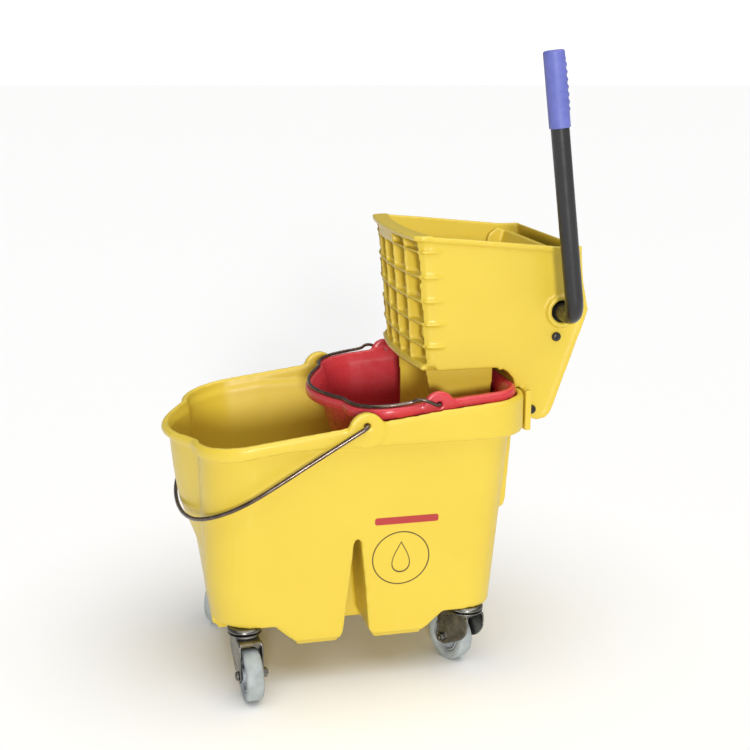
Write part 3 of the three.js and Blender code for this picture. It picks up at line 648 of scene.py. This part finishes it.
# height, front wall, how far the spout stands out
WALL_STATIONS = (
    (63.5, -203.5, 0),
    (110, -208, 0),
    (160, -215, 0),
    (182, -216, 0),
    (205, -216.5, 8),
    (250, -217.5, 25),
    (305, -218.5, 31),
    (356, -219.5, 34),
)
WALL_LEVELS = (
    72, 80, 90, 100, 112, 125, 140, 155, 168, 178, 188, 198, 208, 220, 235, 250, 270, 290, 310, 335,
)


def eased(z, column):
    """A column of the wall's stations at height z, with its kinks eased over a span of heights."""
    heights = [station[0] for station in WALL_STATIONS]
    values = [station[column] for station in WALL_STATIONS]
    spread = np.linspace(-13, 13, 9)
    return float(np.mean(np.interp(z + spread, heights, values)))


def wall_outline(z):
    half = body_half(z)
    rear = BODY["rear"] - BODY["rear_draft"] * (SKIRT["z"] - z)
    return Outline(half, eased(z, 1), eased(z, 2), rear, 0.42 * half, 0.3 * half)


# -------- main bucket
def pocket(sx, sy, grow):
    """A pocket over a caster, grown by a margin to make its wall inside."""
    near, far = POCKET["foot"] - grow, 300
    high = POCKET["z"] + grow
    outline = [(far, 40), (near, 40), (near, 70), (POCKET["x"] - grow, high), (far, high)]
    return slab([(sx * x, z) for x, z in outline], ordered(sy * (POCKET["y"] - grow), sy * 260))


def notch(sy, grow):
    """The tapered recess in the middle of each side wall, grown for the inside."""
    left = [(-36 - grow, 40), (-36 - grow, 64), (-27 - grow, 82), (-11 - grow, 222), (-8, 227 + grow)]
    right = [(-3, 227 + grow), (0 + grow, 222), (15 + grow, 82), (26 + grow, 64), (26 + grow, 40)]
    back = POCKET["y"] + 2 - grow
    narrow, middle = 0.8, -5.5
    rings = []
    for y, share in ((back, narrow), (260, 1.0)):
        rings.append([(middle + share * (x - middle), sy * y, z) for x, z in left + right])
    return skin(rings)


def stacking_rib(sy):
    """One of the upright ribs on the rear wall that keep stacked buckets from jamming."""
    low, top, sunk = RIB["z"], skirt_low(0) + 2, WALL / 2
    rings = []
    for z, share in ((low, 0.5), (low + 3, 0.8), (low + RIB["proud"], 1), ((low + top) / 2, 1), (top, 1)):
        rear = wall_outline(z).rear
        across = [sy * RIB["y"] - RIB["half"], sy * RIB["y"] + RIB["half"]]
        face = rear + share * RIB["proud"]
        corners = [(rear - sunk, 0), (face, 0), (face, 1), (rear - sunk, 1)]
        rings.append([(x, across[side], z) for x, side in corners])
    return skin(rings)


def make_bucket():
    foot = inset(wall_outline(BASE_Z), 7)
    top = wall_outline(SKIRT["z"] - SKIRT["drop"])._replace(half=BODY["half"], rear=BODY["rear"] + 1)
    outer = skin([
        ring(foot, BASE_Z),
        ring(foot, 70),
        *[ring(wall_outline(z), z) for z in WALL_LEVELS],
        ring(top, lambda x: skirt_low(x) - 1),
        ring(inset(BUCKET, 1), skirt_low),
        ring(BUCKET, lambda x: skirt_low(x) + 3),
        ring(BUCKET, lambda x: rim_top(x) - 5),
        ring(inset(BUCKET, 1.2), lambda x: rim_top(x) - 1.8),
        ring(inset(BUCKET, 3.5), rim_top),
    ])
    inner = skin([
        ring(inset(wall_outline(FLOOR_Z), WALL + 4), FLOOR_Z),
        *[ring(inset(wall_outline(z), WALL), z) for z in WALL_LEVELS if z > FLOOR_Z],
        ring(inset(top, WALL), lambda x: skirt_low(x) - 1),
        ring(inset(BUCKET, 11), lambda x: max(skirt_low(x) + 8, rim_top(x) - 40)),
        ring(inset(BUCKET, 10), lambda x: rim_top(x) - 3),
        ring(inset(BUCKET, 8), lambda x: rim_top(x) + 3),
    ])
    corners = [(-1, -1), (-1, 1), (1, -1), (1, 1)]
    stems = [(sx * STEM[0], sy * STEM[1]) for sx, sy in corners]
    bosses = [post(at, 13, (75, 135), 40) for at in stems]
    kept = [pocket(sx, sy, WALL) for sx, sy in corners] + both_sides(lambda sy: notch(sy, WALL)) + bosses
    open_below = [pocket(sx, sy, 0) for sx, sy in corners] + both_sides(lambda sy: notch(sy, 0))
    shell = cut(outer, [cut(inner, kept), *open_below])
    lugs = []
    for x in LUGS["x"]:
        foot_z, half = inner_low(x) - 13, LUGS["half"]
        top_edge = [(px, inner_low(px) - GAP) for px in (x + half + 3, x - half - 3)]
        outline = [(x - half, foot_z), (x + half, foot_z), *top_edge]
        start, end = LUGS["y"]
        lugs += both_sides(lambda sy, outline=outline: slab(outline, ordered(sy * start, sy * end)))
    body = join([shell, *ear(EAR, 11), *lugs, *both_sides(stacking_rib)])
    holes = discs((EAR["x"], EAR["z"]), EAR["hole"] + 0.6, 170, 200, 32)
    cut(body, holes + [post(at, 6.4, (70.5, 130.5), 32) for at in stems])
    moulded(body, 2.5, 5, 195_000)
    finished(body, "bucket_body", "bucket", YELLOW, "bucket")


# -------- inner bucket
def make_inner_bucket():
    heights = [INNER_BASE + 6, 230, 300, 402]
    margin = [41, 30, 22, 12.5]
    front = [41, 25, 13, INNER.front + 12.5]
    spout = [0, 0, 12, 30]

    def outline(z):
        out = inset(INNER, float(np.interp(z, heights, margin)))
        at = [float(np.interp(z, heights, column)) for column in (front, spout)]
        return out._replace(front=at[0], spout=at[1])

    levels = np.linspace(INNER_BASE + 8, 380, 14)
    neck = outline(402)
    outer = skin([
        ring(inset(outline(INNER_BASE), 6), INNER_BASE),
        ring(inset(outline(INNER_BASE), 1.5), INNER_BASE + 3),
        *[ring(outline(z), z) for z in levels],
        ring(neck, lambda x: inner_low(x) - 0.5),
        ring(inset(INNER, 1), inner_low),
        ring(INNER, lambda x: inner_low(x) + 3),
        ring(INNER, lambda x: inner_top(x) - 4.5),
        ring(inset(INNER, 1.2), lambda x: inner_top(x) - 1.5),
        ring(inset(INNER, 3.5), inner_top),
    ])
    inner = skin([
        ring(inset(outline(INNER_BASE), 10), INNER_BASE + INNER_WALL),
        *[ring(inset(outline(z), INNER_WALL), z) for z in levels if z > INNER_BASE + 8],
        ring(inset(neck, INNER_WALL), inner_low),
        ring(inset(INNER, 11), lambda x: inner_top(x) - 3),
        ring(inset(INNER, 8.5), lambda x: inner_top(x) + 3),
    ])
    body = join([cut(outer, [inner]), *ear(INNER_EAR, 9)])
    at, face = (INNER_EAR["x"], INNER_EAR["z"]), INNER_EAR["face"]
    cut(body, discs(at, INNER_EAR["hole"] + 0.7, face - 10.5, face + 10, 32))
    moulded(body, 2.4, 5, 160_000)
    finished(body, "inner_bucket_body", "inner_bucket", RED, "inner_bucket")


# -------- wire handles
BAIL_SHAPE = (
    (0, EAR["face"] - 13), (0, EAR["face"] + 1), (4, EAR["face"] + 4.4), (14, 195), (90, 193), (150, 192),
    (182, 189), (208, 181), (230, 168), (250, 150), (269, 122), (282, 84), (288.6, 42), (BAIL_REACH, 0),
)


def wire(near, per_span, radius, sides):
    """A wire from the near pivot to the middle plane and back along its mirror image."""
    path = near + [(x, -y, z) for x, y, z in reversed(near[:-1])]
    return rod(curve_through(path, per_span), radius, sides)


def make_bail():
    drop = radians_of(BAIL_DROP)
    near = [(EAR["x"] - r * math.cos(drop), -out, EAR["z"] - r * math.sin(drop)) for r, out in BAIL_SHAPE]
    finished(wire(near, 10, BAIL_R, 16), "bucket_bail_wire", "bucket_bail", WIRE, "bucket_bail")


def make_inner_bail():
    """The handle lies on the inner bucket's rim and follows its outline round the spout."""
    x, face = INNER_EAR["x"], INNER_EAR["face"]
    pivot = INNER_EAR["z"] + GAP

    def over(px):
        return inner_top(px) + INNER_BAIL_R + GAP

    outline = plan(inset(INNER, 5))[: SPOUT_STEPS + CORNER_STEPS + 2]
    run = [(px, py, over(px)) for px, py in outline[::4]][::-1]
    end = [
        (x, -face + 9, pivot), (x, -face - 1, pivot), (x - 4, -face - 3, pivot),
        (x - 22, -face - 2.5, over(x - 22) + 3), (x - 32, -face + 1, over(x - 32) + 4),
        (x - 38, -face + 3.5, over(x - 38) + 1.5),
    ]
    near = end + [point for point in run if point[0] < x - 44]
    finished(wire(near, 8, INNER_BAIL_R, 14), "inner_bail_wire", "inner_bail", WIRE, "inner_bail")


# -------- casters
def place_of(where):
    """The matrix that puts a caster made at the origin, with its wheel trailing along +X, in its place."""
    swivel = JOINTS[f"swivel_{where}"]["pos_m"]
    axis = JOINTS[f"roll_{where}"]["axis"]
    heading = math.atan2(-axis[0], axis[1])
    return Matrix.Translation(Vector((swivel[0], swivel[1], 0))) @ Matrix.Rotation(heading, 4, "Z")


def unshifted(piece):
    """Takes off the working frame's shift, for a piece made round the caster's own axis."""
    return moved(piece, Matrix.Translation(Vector((MIDDLE_X * MM, 0, 0))))


def arch(half, low, high):
    """A long block with rounded edges, for the inside or the outside of a pressed fork."""
    outline = rounded([(-half, low), (half, low), (half, high), (-half, high)], 5, 5, True)
    return skin([[(x, y, z) for y, z in outline] for x in (-60, 60)])


def make_fork(where):
    inside = WHEEL["width"] / 2 + 2.5
    outside = inside + 2.5
    side = rounded([(-21, 88), (-21, 62), (-10, 47), (28, 26.5), (38, 26.5), (43, 33), (43, 88)], 8, 6, True)
    whole = slab(side, (-outside, outside))
    combined(whole, [arch(outside, 5, 88)], "INTERSECT")
    cut(whole, [arch(inside, 10, 85.5)])
    dish = [(0, 86), (20, 86), (23.5, 87.4), (24.6, 89), (24.6, 90.2), (21, 90.7), (0, 90.7)]
    whole = join([unshifted(whole), turned(rounded(dish, 1.2), 64)])
    bore = unshifted(disc((WHEEL["trail"], WHEEL["radius"]), 4.3, (-30, 30), 32))
    hole = unshifted(post((0, 0), 5.5, (78, 98), 32))
    cut(whole, [bore, hole])
    moulded(whole, 1.0, 3)
    moved(whole, place_of(where))
    finished(whole, f"fork_{where}", f"fork_{where}", ZINC, f"caster_fork_{where}")


def make_stem(where):
    profile = [
        (0, 82), (7.5, 82), (9, 83.2), (9, 85.2), (5, 85.2), (5, 91.2), (21, 91.2), (25, 93.4), (25.4, 95.2),
        (24.6, 97.4), (21.5, 99.6), (5.5, 99.7), (5.5, 130), (0, 130),
    ]
    stem = smooth_faces(moved(turned(rounded(profile, 1.0, 3), 72), place_of(where)))
    finished(stem, f"stem_{where}", "bucket", ZINC, f"caster_stem_{where}")


def lathe_on_axle(profile, steps, where, ringed):
    """A turned piece about the wheel's axle; +z of the profile lies along the axle."""
    place = place_of(where) @ Matrix.Translation(Vector((WHEEL["trail"] * MM, 0, WHEEL["radius"] * MM)))
    turn = Matrix.Rotation(-math.pi / 2, 4, "X")
    return smooth_faces(moved(turned(profile, steps, ringed), place @ turn))


def make_wheel(where):
    tyre = mirrored([
        (24.4, -10.2), (26.5, -12.0), (31.5, -12.4), (34.5, -12.0), (36.6, -10.2), (37.4, -7.0), (37.5, -1.0),
    ])
    tyre.insert(len(tyre) // 2, (37.35, 0))
    hub = mirrored([
        (4.4, -12.9), (8.6, -12.9), (9.6, -12.0), (9.8, -8.6), (11.5, -7.4), (18.5, -6.8), (20.6, -7.4),
        (21.4, -10.4), (22.4, -11.2), (24.0, -10.4),
    ])
    bolt = [
        (0, -22.6), (3.5, -22.4), (5.6, -21.4), (6.6, -19.6), (6.6, -17.8), (4, -17.8), (4, 24.4),
        (3.2, 25.2), (0, 25.2),
    ]
    body = f"wheel_{where}"
    tread = lathe_on_axle(rounded(tyre, 1.2, 3, True), 96, where, True)
    finished(tread, f"tyre_{where}", body, TYRE, f"wheel_tyre_{where}")
    core = lathe_on_axle(rounded(hub, 0.8, 2, True), 72, where, True)
    finished(core, f"hub_{where}", body, HUB, f"wheel_hub_{where}")
    pin = lathe_on_axle(rounded(bolt, 0.6, 3), 40, where, False)
    finished(pin, f"axle_{where}", f"fork_{where}", ZINC, f"axle_bolt_{where}")


def make_nut(where):
    y = (WHEEL["width"] / 2 + 5.3, WHEEL["width"] / 2 + 10.5)
    at = (WHEEL["trail"], WHEEL["radius"])
    nut = disc(at, 7, y, 6)
    cut(nut, [disc(at, 4.3, (0, 40), 32)])
    bevelled(nut, 0.5)
    moved(unshifted(nut), place_of(where))
    finished(nut, f"nut_{where}", f"fork_{where}", ZINC, f"axle_nut_{where}")


# -------- wringer
def narrowing(z):
    return 1 - TAPER * (TOP_Z - z)


def wall_y(z):
    return HALF * narrowing(z)


def narrowed(piece):
    """The housing narrows evenly downwards."""
    for vertex in piece.data.vertices:
        vertex.co.y *= narrowing(vertex.co.z / MM)
    return piece


def bow(front, half, corner, steps=40):
    """The bowed front in plan, from -Y to +Y, with rounded corners."""
    points = []
    for t in np.linspace(-1, 1, steps + 1):
        x = front - GRID["bulge"] * (1 - t * t)
        over = max(abs(t) * half - (half - corner), 0)
        points.append((x + corner - math.sqrt(max(corner**2 - over**2, 0)), t * half))
    return points


def bowed_plate(front, back, half, z, lean, corner=0.01):
    outline = bow(front, half, corner) + bow(back, half, 0.01)[::-1]
    rings = [[(x + lean * (TOP_Z - level), y, level) for x, y in outline] for level in z]
    return narrowed(skin(rings))


def grid_cells():
    """The openings of the drain grid, in five columns, with two of the top row left blank."""
    columns, rib = 5, 3.4
    front = GRID["front"]
    pitch = 2 * (HALF - 6) / columns
    cells = []
    for row, top in enumerate(GRID_ROWS):
        high = TOP_Z - 8 if row == 0 else top - rib / 2
        low = GRID_ROWS[row + 1] + rib / 2 if row + 1 < len(GRID_ROWS) else GRID["low"] + 3
        for column in range(columns):
            blank = row == 0 and column in (2, 3)
            y = -(HALF - 6) + column * pitch + rib / 2
            x = (front + 4, front + 60) if blank else (front - 60, front + 60)
            cells.append(narrowed(block(x, (y, y + pitch - rib), (low, high))))
    return cells


def fin(sy, z):
    """A lens-shaped rib that ties the grid's frame to the side wall."""
    start = GRID["front"] + GRID["lean"] * (TOP_Z - z) + 3
    length, high, proud = 36.0, 2.4, 4.0
    rings = []
    for t in np.linspace(0, 1, 13):
        swell = max(math.sin(math.pi * min(t + 0.08, 1)), 0.05) ** 0.7
        wall = sy * (wall_y(z) - 2)
        out = sy * (proud * swell + 1.2)
        rings.append([(start + length * t, wall + out * max(c, -0.2), z + high * swell * s)
                      for c, s in circle(1.0, 16)])
    return skin(rings)


def side_lip(sy):
    """The rolled edge along the top of a side wall."""
    back = GRID["front"] + 8
    edge = [(back, 646.5), (158, 640.5), (290, 626.5), (322, 626.5), (322, 619), (290, 619), (158, 633),
            (back, 639)]
    return slab(edge, ordered(sy * (HALF - 4), sy * (HALF + 3.5)))


def rear_ridge(sy):
    """A raised band along the rear edge of a side wall."""
    outer = [(322, 619), (327.6, 574), (REARMOST, 534), (329, 509), (287.6, 384), (280, 376)]
    inner = [(274, 381), (280.5, 387), (321.5, 511), (328.5, 534), (320, 573), (315, 619)]
    band = slab(outer + inner, ordered(sy * (HALF - 3), sy * (HALF + 1.6)))
    return narrowed(band)


def make_chute():
    """The drain under the basket: two side walls and a rear wall, open towards the spout."""
    half, low, foot, rear = CHUTE["half"], CHUTE["low"], CHUTE["foot"], CHUTE["rear"]
    top = BOX_FLOOR + WALL / 2
    front = [(103, 457), (106, 452), (109, 446), (111.3, 436), (113, 425), (114.4, 412), (115, 400)]
    side = [*front, (foot[0], low), (foot[1], low), (rear, top)]
    well = [(60, low - 10), (foot[1] - WALL - 0.4, low - 10), (rear - WALL, top + 1), (60, top + 1)]
    return cut(slab(side, (-half, half)), [slab(well, (WALL - half, half - WALL))])


def make_wringer():
    lean = GRID["lean"]

    def slope(z):
        return GRID["front"] + GRID["deep"] - 4 + lean * (TOP_Z - z)

    hook = SADDLE["x"]
    rest = rim_top(BUCKET.rear - 4.5) + 2 * GAP
    outline = [
        (slope(645), 645), (158, 640), (290, 626), (322, 626), (327.6, 574), (REARMOST, 534), (329, 509),
        (287.6, 384), (280, 376), (268, 373), (255, 378), (hook[0], 381), (hook[0], rest), (231.6, rest),
        (230.2, 437), (222, 447), (214, 452.5), (208, 451), (205, BOX_FLOOR), (slope(BOX_FLOOR), BOX_FLOOR),
    ]
    cavity = [
        (60, 720), (318, 720), (318, 626), (323.4, 574), (332.7, 534), (324.8, 510), (284, 387), (277, 380),
        (268, 377.3), (257, 382.5), (hook[1], 385), (hook[1], rest + WALL), (235.6, rest + WALL),
        (234.4, 439), (226, 450), (216, 457), (205, 460.5), (60, 460.5),
    ]
    wall_in = HALF - WALL
    shell = narrowed(slab(outline, (-HALF, HALF)))
    inside = narrowed(slab(cavity, (-wall_in, wall_in)))
    half = wall_y(BOX_FLOOR)
    floor = bowed_plate(GRID["front"] + 10, 205, half + 1, (BOX_FLOOR, GRID["low"] + 1), 0)
    chute_half = CHUTE["half"] - WALL
    foot = CHUTE["foot"]
    drain = block((foot[0] + WALL, foot[1] - WALL), (-chute_half, chute_half), (BOX_FLOOR - 5, 480))
    body = cut(join([cut(join([shell, floor]), [inside]), make_chute()]), [drain])
    front, back = GRID["front"], GRID["front"] + GRID["deep"]
    grid = bowed_plate(front, back, HALF - 1.4, (GRID["low"] - 0.3, TOP_Z - 1), lean, 9)
    lip = bowed_plate(front - 4, back, HALF + 3.5, (TOP_Z - 8, TOP_Z), lean, 9)
    outer, thick = SADDLE["half"], SADDLE["thick"]
    strip = [block(hook, (-outer, outer), SADDLE["z"])]
    side = (hook[0], SADDLE["side"])
    strip += both_sides(lambda sy: block(side, ordered(sy * (outer - thick), sy * outer), SADDLE["z"]))
    boss = discs(SHAFT, BOSS_R, wall_y(SHAFT[1]) - 3, wall_y(SHAFT[1]) + 6)
    pivot_wall = wall_y(PIVOT[1]) - WALL
    pivot = discs(PIVOT, 8, pivot_wall - 3, pivot_wall + 2, 40)
    fins = [fin(sy, z) for z in GRID_ROWS[1:] for sy in (-1, 1)]
    trims = both_sides(side_lip) + both_sides(rear_ridge)
    body = join([body, grid, lip, *strip, *boss, *pivot, *fins, *trims])
    holes = []
    for at, radius in ((SHAFT, HOLE_R + 0.5), (ANCHOR, ROD_R + 1), (BRACE, ROD_R + 1)):
        holes += discs(at, radius, 100, 160, 48)
    holes += discs(PIVOT, ROD_R + 0.8, 60, pivot_wall + 1, 32)
    cut(body, holes + grid_cells())
    moulded(body, 2.0, 4, 195_000)
    finished(body, "wringer_body", "wringer", YELLOW, "wringer_housing", "wringer_grid")


def make_press_plate():
    half, high, face, back, rib, cheek, tilt = PLATE.values()
    panel = block((face, back), (-half, half), (2, high))
    flange = block((face, 12), (-half, half), (high - 4, high))
    side = [(face + 1, 8), (cheek, 42), (cheek, high - 12), (cheek + 10, high), (face + 1, high)]
    cheeks = both_sides(lambda sy: slab(side, ordered(sy * (half - 5), sy * half)))
    ribs = [block((back - 1, rib), (y - 4, y + 4), (10, high - 2)) for y in (-30, 30, -75, 75)]
    barrel = disc((0, 0), 7, (-half, half), 40)
    body = join([panel, flange, barrel, *cheeks, *ribs])
    cut(body, [disc((0, 0), ROD_R + 0.7, (-half - 1, half + 1), 32)])
    moulded(body, 1.8, 4, 120_000)
    lean = Matrix.Rotation(radians_of(tilt), 4, "Y")
    pivot = Matrix.Translation(Vector(to_frame((PIVOT[0], 0, PIVOT[1]))))
    moved(unshifted(body), pivot @ lean)
    finished(body, "press_plate_body", "press_plate", YELLOW, "press_plate")


# -------- lever and shaft
LEAN = radians_of(LEVER_LEAN)
UP = np.array([-math.sin(LEAN), 0, math.cos(LEAN)])
CORNER = np.array([SHAFT[0], -LEVER_Y, SHAFT[1]])


def make_lever():
    bend = 28
    start, end = CORNER + np.array([0, bend, 0]), CORNER + UP * bend
    top = CORNER + UP * ((LEVER_TOP - 5 - SHAFT[1]) / UP[2])
    elbow = [start * (1 - t) ** 2 + CORNER * 2 * t * (1 - t) + end * t**2 for t in np.linspace(0, 1, 25)]
    stem = [np.array([SHAFT[0], y, SHAFT[1]]) for y in np.linspace(-112, -150, 8)]
    rise = [end + (top - end) * t for t in np.linspace(0.03, 1, 24)]
    lever = tube([*stem, *elbow, *rise], TUBE_R, 40)
    finished(lever, "lever_tube_body", "lever", TUBE, "lever_tube")


def make_grip():
    """A vinyl sleeve with finger ridges on the side away from the spout."""
    length, radius = GRIP["length"], GRIP["radius"]
    across = np.array([math.cos(LEAN), 0, math.sin(LEAN)])
    side = np.array([0.0, 1.0, 0.0])
    foot = CORNER + UP * ((LEVER_TOP - SHAFT[1]) / math.cos(LEAN) - length)
    rings = []
    inner = radius - GRIP["wall"]

    def add_ring(height, size, ridge=0):
        points = []
        for c, s in circle(1.0, 64):
            finger = ridge * max(c, 0) ** 0.8
            points.append(foot + UP * height + (size + finger) * (c * across + s * side))
        rings.append(points)

    add_ring(length - 4.2, 0.4)
    add_ring(length - 4, inner)
    add_ring(0, inner)
    add_ring(0, radius - 0.6)
    add_ring(0.8, radius)
    for height in np.linspace(2, length - 3.5, 110):
        inside = smoothstep(height, 18, 24) * (1 - smoothstep(height, 86, 91))
        wave = 0.5 - 0.5 * math.cos(2 * math.pi * (height - 18) / 9.6)
        add_ring(height, radius, 1.5 * inside * wave)
    add_ring(length - 1.5, radius - 0.5)
    add_ring(length - 0.4, radius - 1.8)
    add_ring(length, radius - 4)
    add_ring(length, 0.4)
    finished(smooth_faces(skin(rings)), "grip_sleeve", "lever", GRIP_SKIN, "lever_grip")


def make_bolts():
    """The dark button-head bolts of the two cross rods."""
    for name, at in CROSS_RODS:
        for side, sy in SIDES:
            wall = wall_y(at[1])
            low = wall - WALL - 10
            head = [
                (0, low), (2.5, low), (2.5, wall + GAP), (6.6, wall + GAP), (6.6, wall + 2.6),
                (5.4, wall + 4.6), (3.2, wall + 5.4), (2.4, wall + 5.4), (2.0, wall + 3.2), (0, wall + 3.2),
            ]
            bolt = moved(turned(rounded(head, 0.7, 3), 48), Matrix.Scale(sy, 4, (0, 0, 1)))
            if sy < 0:
                bolt.data.flip_normals()
            smooth_faces(along_y(bolt, at))
            finished(bolt, f"{name}_button_{side}", "wringer", BOLT, f"{name}_bolt_{side}")


def make_rods():
    for name, at in CROSS_RODS:
        reach = wall_y(at[1]) - WALL - GAP
        deep = reach - 14
        bar = axle(mirrored([(0, -deep), (2.8, -deep), (2.8, -reach), (6, -reach)]), 0.6, 2, 40, at)
        finished(bar, f"{name}_bar", "wringer", ZINC, f"{name}_rod")
    reach = wall_y(PIVOT[1]) - WALL + 0.7
    hinge = axle(mirrored([(0, -reach), (ROD_R, -reach)]), 0.8, 3, 40, PIVOT)
    finished(hinge, "plate_hinge_pin", "wringer", ZINC, "plate_hinge_rod")


def make_shaft():
    bush_in = (HALF - WALL) * narrowing(SHAFT[1] - 20) - GAP
    bore, around, snug = SHAFT_R + GAP, TUBE_R + GAP, HOLE_R - GAP
    bush_out = wall_y(SHAFT[1]) + 7
    near = [(around, -bush_in), (19, -bush_in), (19, -bush_in + 7), (around, -bush_in + 7)]
    far = [(bore, bush_in - 4), (19, bush_in - 4), (19, bush_in), (snug, bush_in), (snug, bush_out)]
    far.append((bore, bush_out))
    for profile, name, node in ((near, "bush_near", "lever_bush_near"), (far, "bush_far", "shaft_bush_far")):
        bush = axle(profile, 0.8, 3, 56, SHAFT, True)
        finished(bush, name, "wringer", BUSH, node)
    shaft = [(0, -111.7), (SHAFT_R, -111.7), (SHAFT_R, bush_out + 6), (0, bush_out + 6)]
    finished(axle(shaft, 1.0, 3, 48, SHAFT), "press_axle", "lever", ZINC, "press_shaft")
    low, high = bush_out + GAP, bush_out + GAP + 2
    clip = axle([(bore, low), (13, low), (13, high), (bore, high)], 0.5, 3, 48, SHAFT, True)
    finished(clip, "axle_clip", "lever", ZINC, "shaft_clip")
    half = ARM_Y + 5
    push = axle(mirrored([(0, -half), (PUSH_R, -half)]), 1.2, 4, 40, PUSH)
    finished(push, "push_roller", "lever", ZINC, "push_bar")


def make_cranks():
    for side, sy in SIDES:
        y = ordered(sy * (ARM_Y - 3), sy * (ARM_Y + 3))
        ends = ((SHAFT, -9), (SHAFT, 9), (PUSH, 7.5), (PUSH, -7.5))
        web = [(at[0] + half, at[1]) for at, half in ends]
        arm = join([disc(SHAFT, 14, y), disc(PUSH, 8.5, y, 48), slab(web, y)])
        bores = ((SHAFT, SHAFT_R), (PUSH, PUSH_R))
        cut(arm, [disc(at, radius + GAP, (-200, 200), 48) for at, radius in bores])
        bevelled(arm, 0.8)
        finished(arm, f"crank_{side}", "lever", ZINC, f"crank_arm_{side}")


def make_springs():
    turns, coil, radius, start, pitch = 5, 11.5, 1.6, 46, 4.4
    for side, sy in SIDES:
        leg = [(SHAFT[0] - coil, sy * start, SHAFT[1] - d) for d in (28, 21, 14)]
        winding = []
        for i in range(24 * turns + 1):
            a, y = 2 * math.pi * i / 24, sy * (start + pitch * i / 24)
            winding.append((SHAFT[0] - coil * math.cos(a), y, SHAFT[1] + coil * math.sin(a)))
        spring = rod([*leg, *winding], radius, 12)
        finished(spring, f"torsion_spring_{side}", "wringer", STEEL, f"return_spring_{side}")


# -------- plain marks on the near side
def on_near_wall(points, lift):
    """Points (x, z) laid on the sloping near wall, lifted off it by a little."""
    return [(x, -body_half(z) - lift, z) for x, z in points]


def mark(name, outline, hole, look):
    """A thin printed patch, with an optional hole of the same number of points."""
    loops = [outline] if hole is None else [outline, hole]
    count = len(outline)
    points = [point for lift in (-0.6, 0.25) for loop in loops for point in on_near_wall(loop, lift)]
    faces = []
    stride = count * len(loops)
    for k, loop in enumerate(loops):
        for i in range(count):
            a, b = k * count + i, k * count + (i + 1) % count
            faces.append((a, b, b + stride, a + stride))
    if hole is None:
        faces += [tuple(range(count)), tuple(range(stride, stride + count))]
    else:
        for base in (0, stride):
            for i in range(count):
                j = (i + 1) % count
                faces.append((base + i, base + j, base + count + j, base + count + i))
    finished(solid(points, faces), name, "bucket", look)


def make_marks():
    bar = rounded([(18, 258), (110, 258), (110, 247), (18, 247)], 4, 5, True)
    mark("mark_bar", bar, None, LABEL_RED)
    centre, radius = (57, 193), 42
    sizes = (radius, radius - 1.8)
    loops = [[(centre[0] + px, centre[1] + pz) for px, pz in circle(size, 72)] for size in sizes]
    mark("mark_ring", *loops, LABEL_BROWN)
    drop, tear = [], []
    for k in range(60):
        a = 2 * math.pi * k / 60
        wide = math.sin(a) * math.sin(a / 2) ** 1.4
        drop.append((centre[0] + 19 * wide, centre[1] + 2 + 25 * math.cos(a)))
        tear.append((centre[0] + 16.9 * wide, centre[1] + 1.6 + 22.4 * math.cos(a)))
    mark("mark_drop", drop, tear, LABEL_BROWN)


# -------- the whole
add_camera()
add_world(0.2, 1.1)
add_sun("key", (-0.13, -0.95, 0.16), 2.05, 9, (1.0, 0.99, 0.975))
add_sun("overhead", (0.12, -0.2, 1.0), 2.4, 70, (1.0, 1.0, 1.0))
add_floor()
bpy.context.scene.view_settings.view_transform = "Standard"

make_bucket()
make_bail()
make_inner_bucket()
make_inner_bail()
for corner in CASTERS:
    make_stem(corner)
    make_fork(corner)
    make_wheel(corner)
    make_nut(corner)
make_wringer()
make_press_plate()
make_lever()
make_grip()
make_bolts()
make_rods()
make_shaft()
make_cranks()
make_springs()
make_marks()
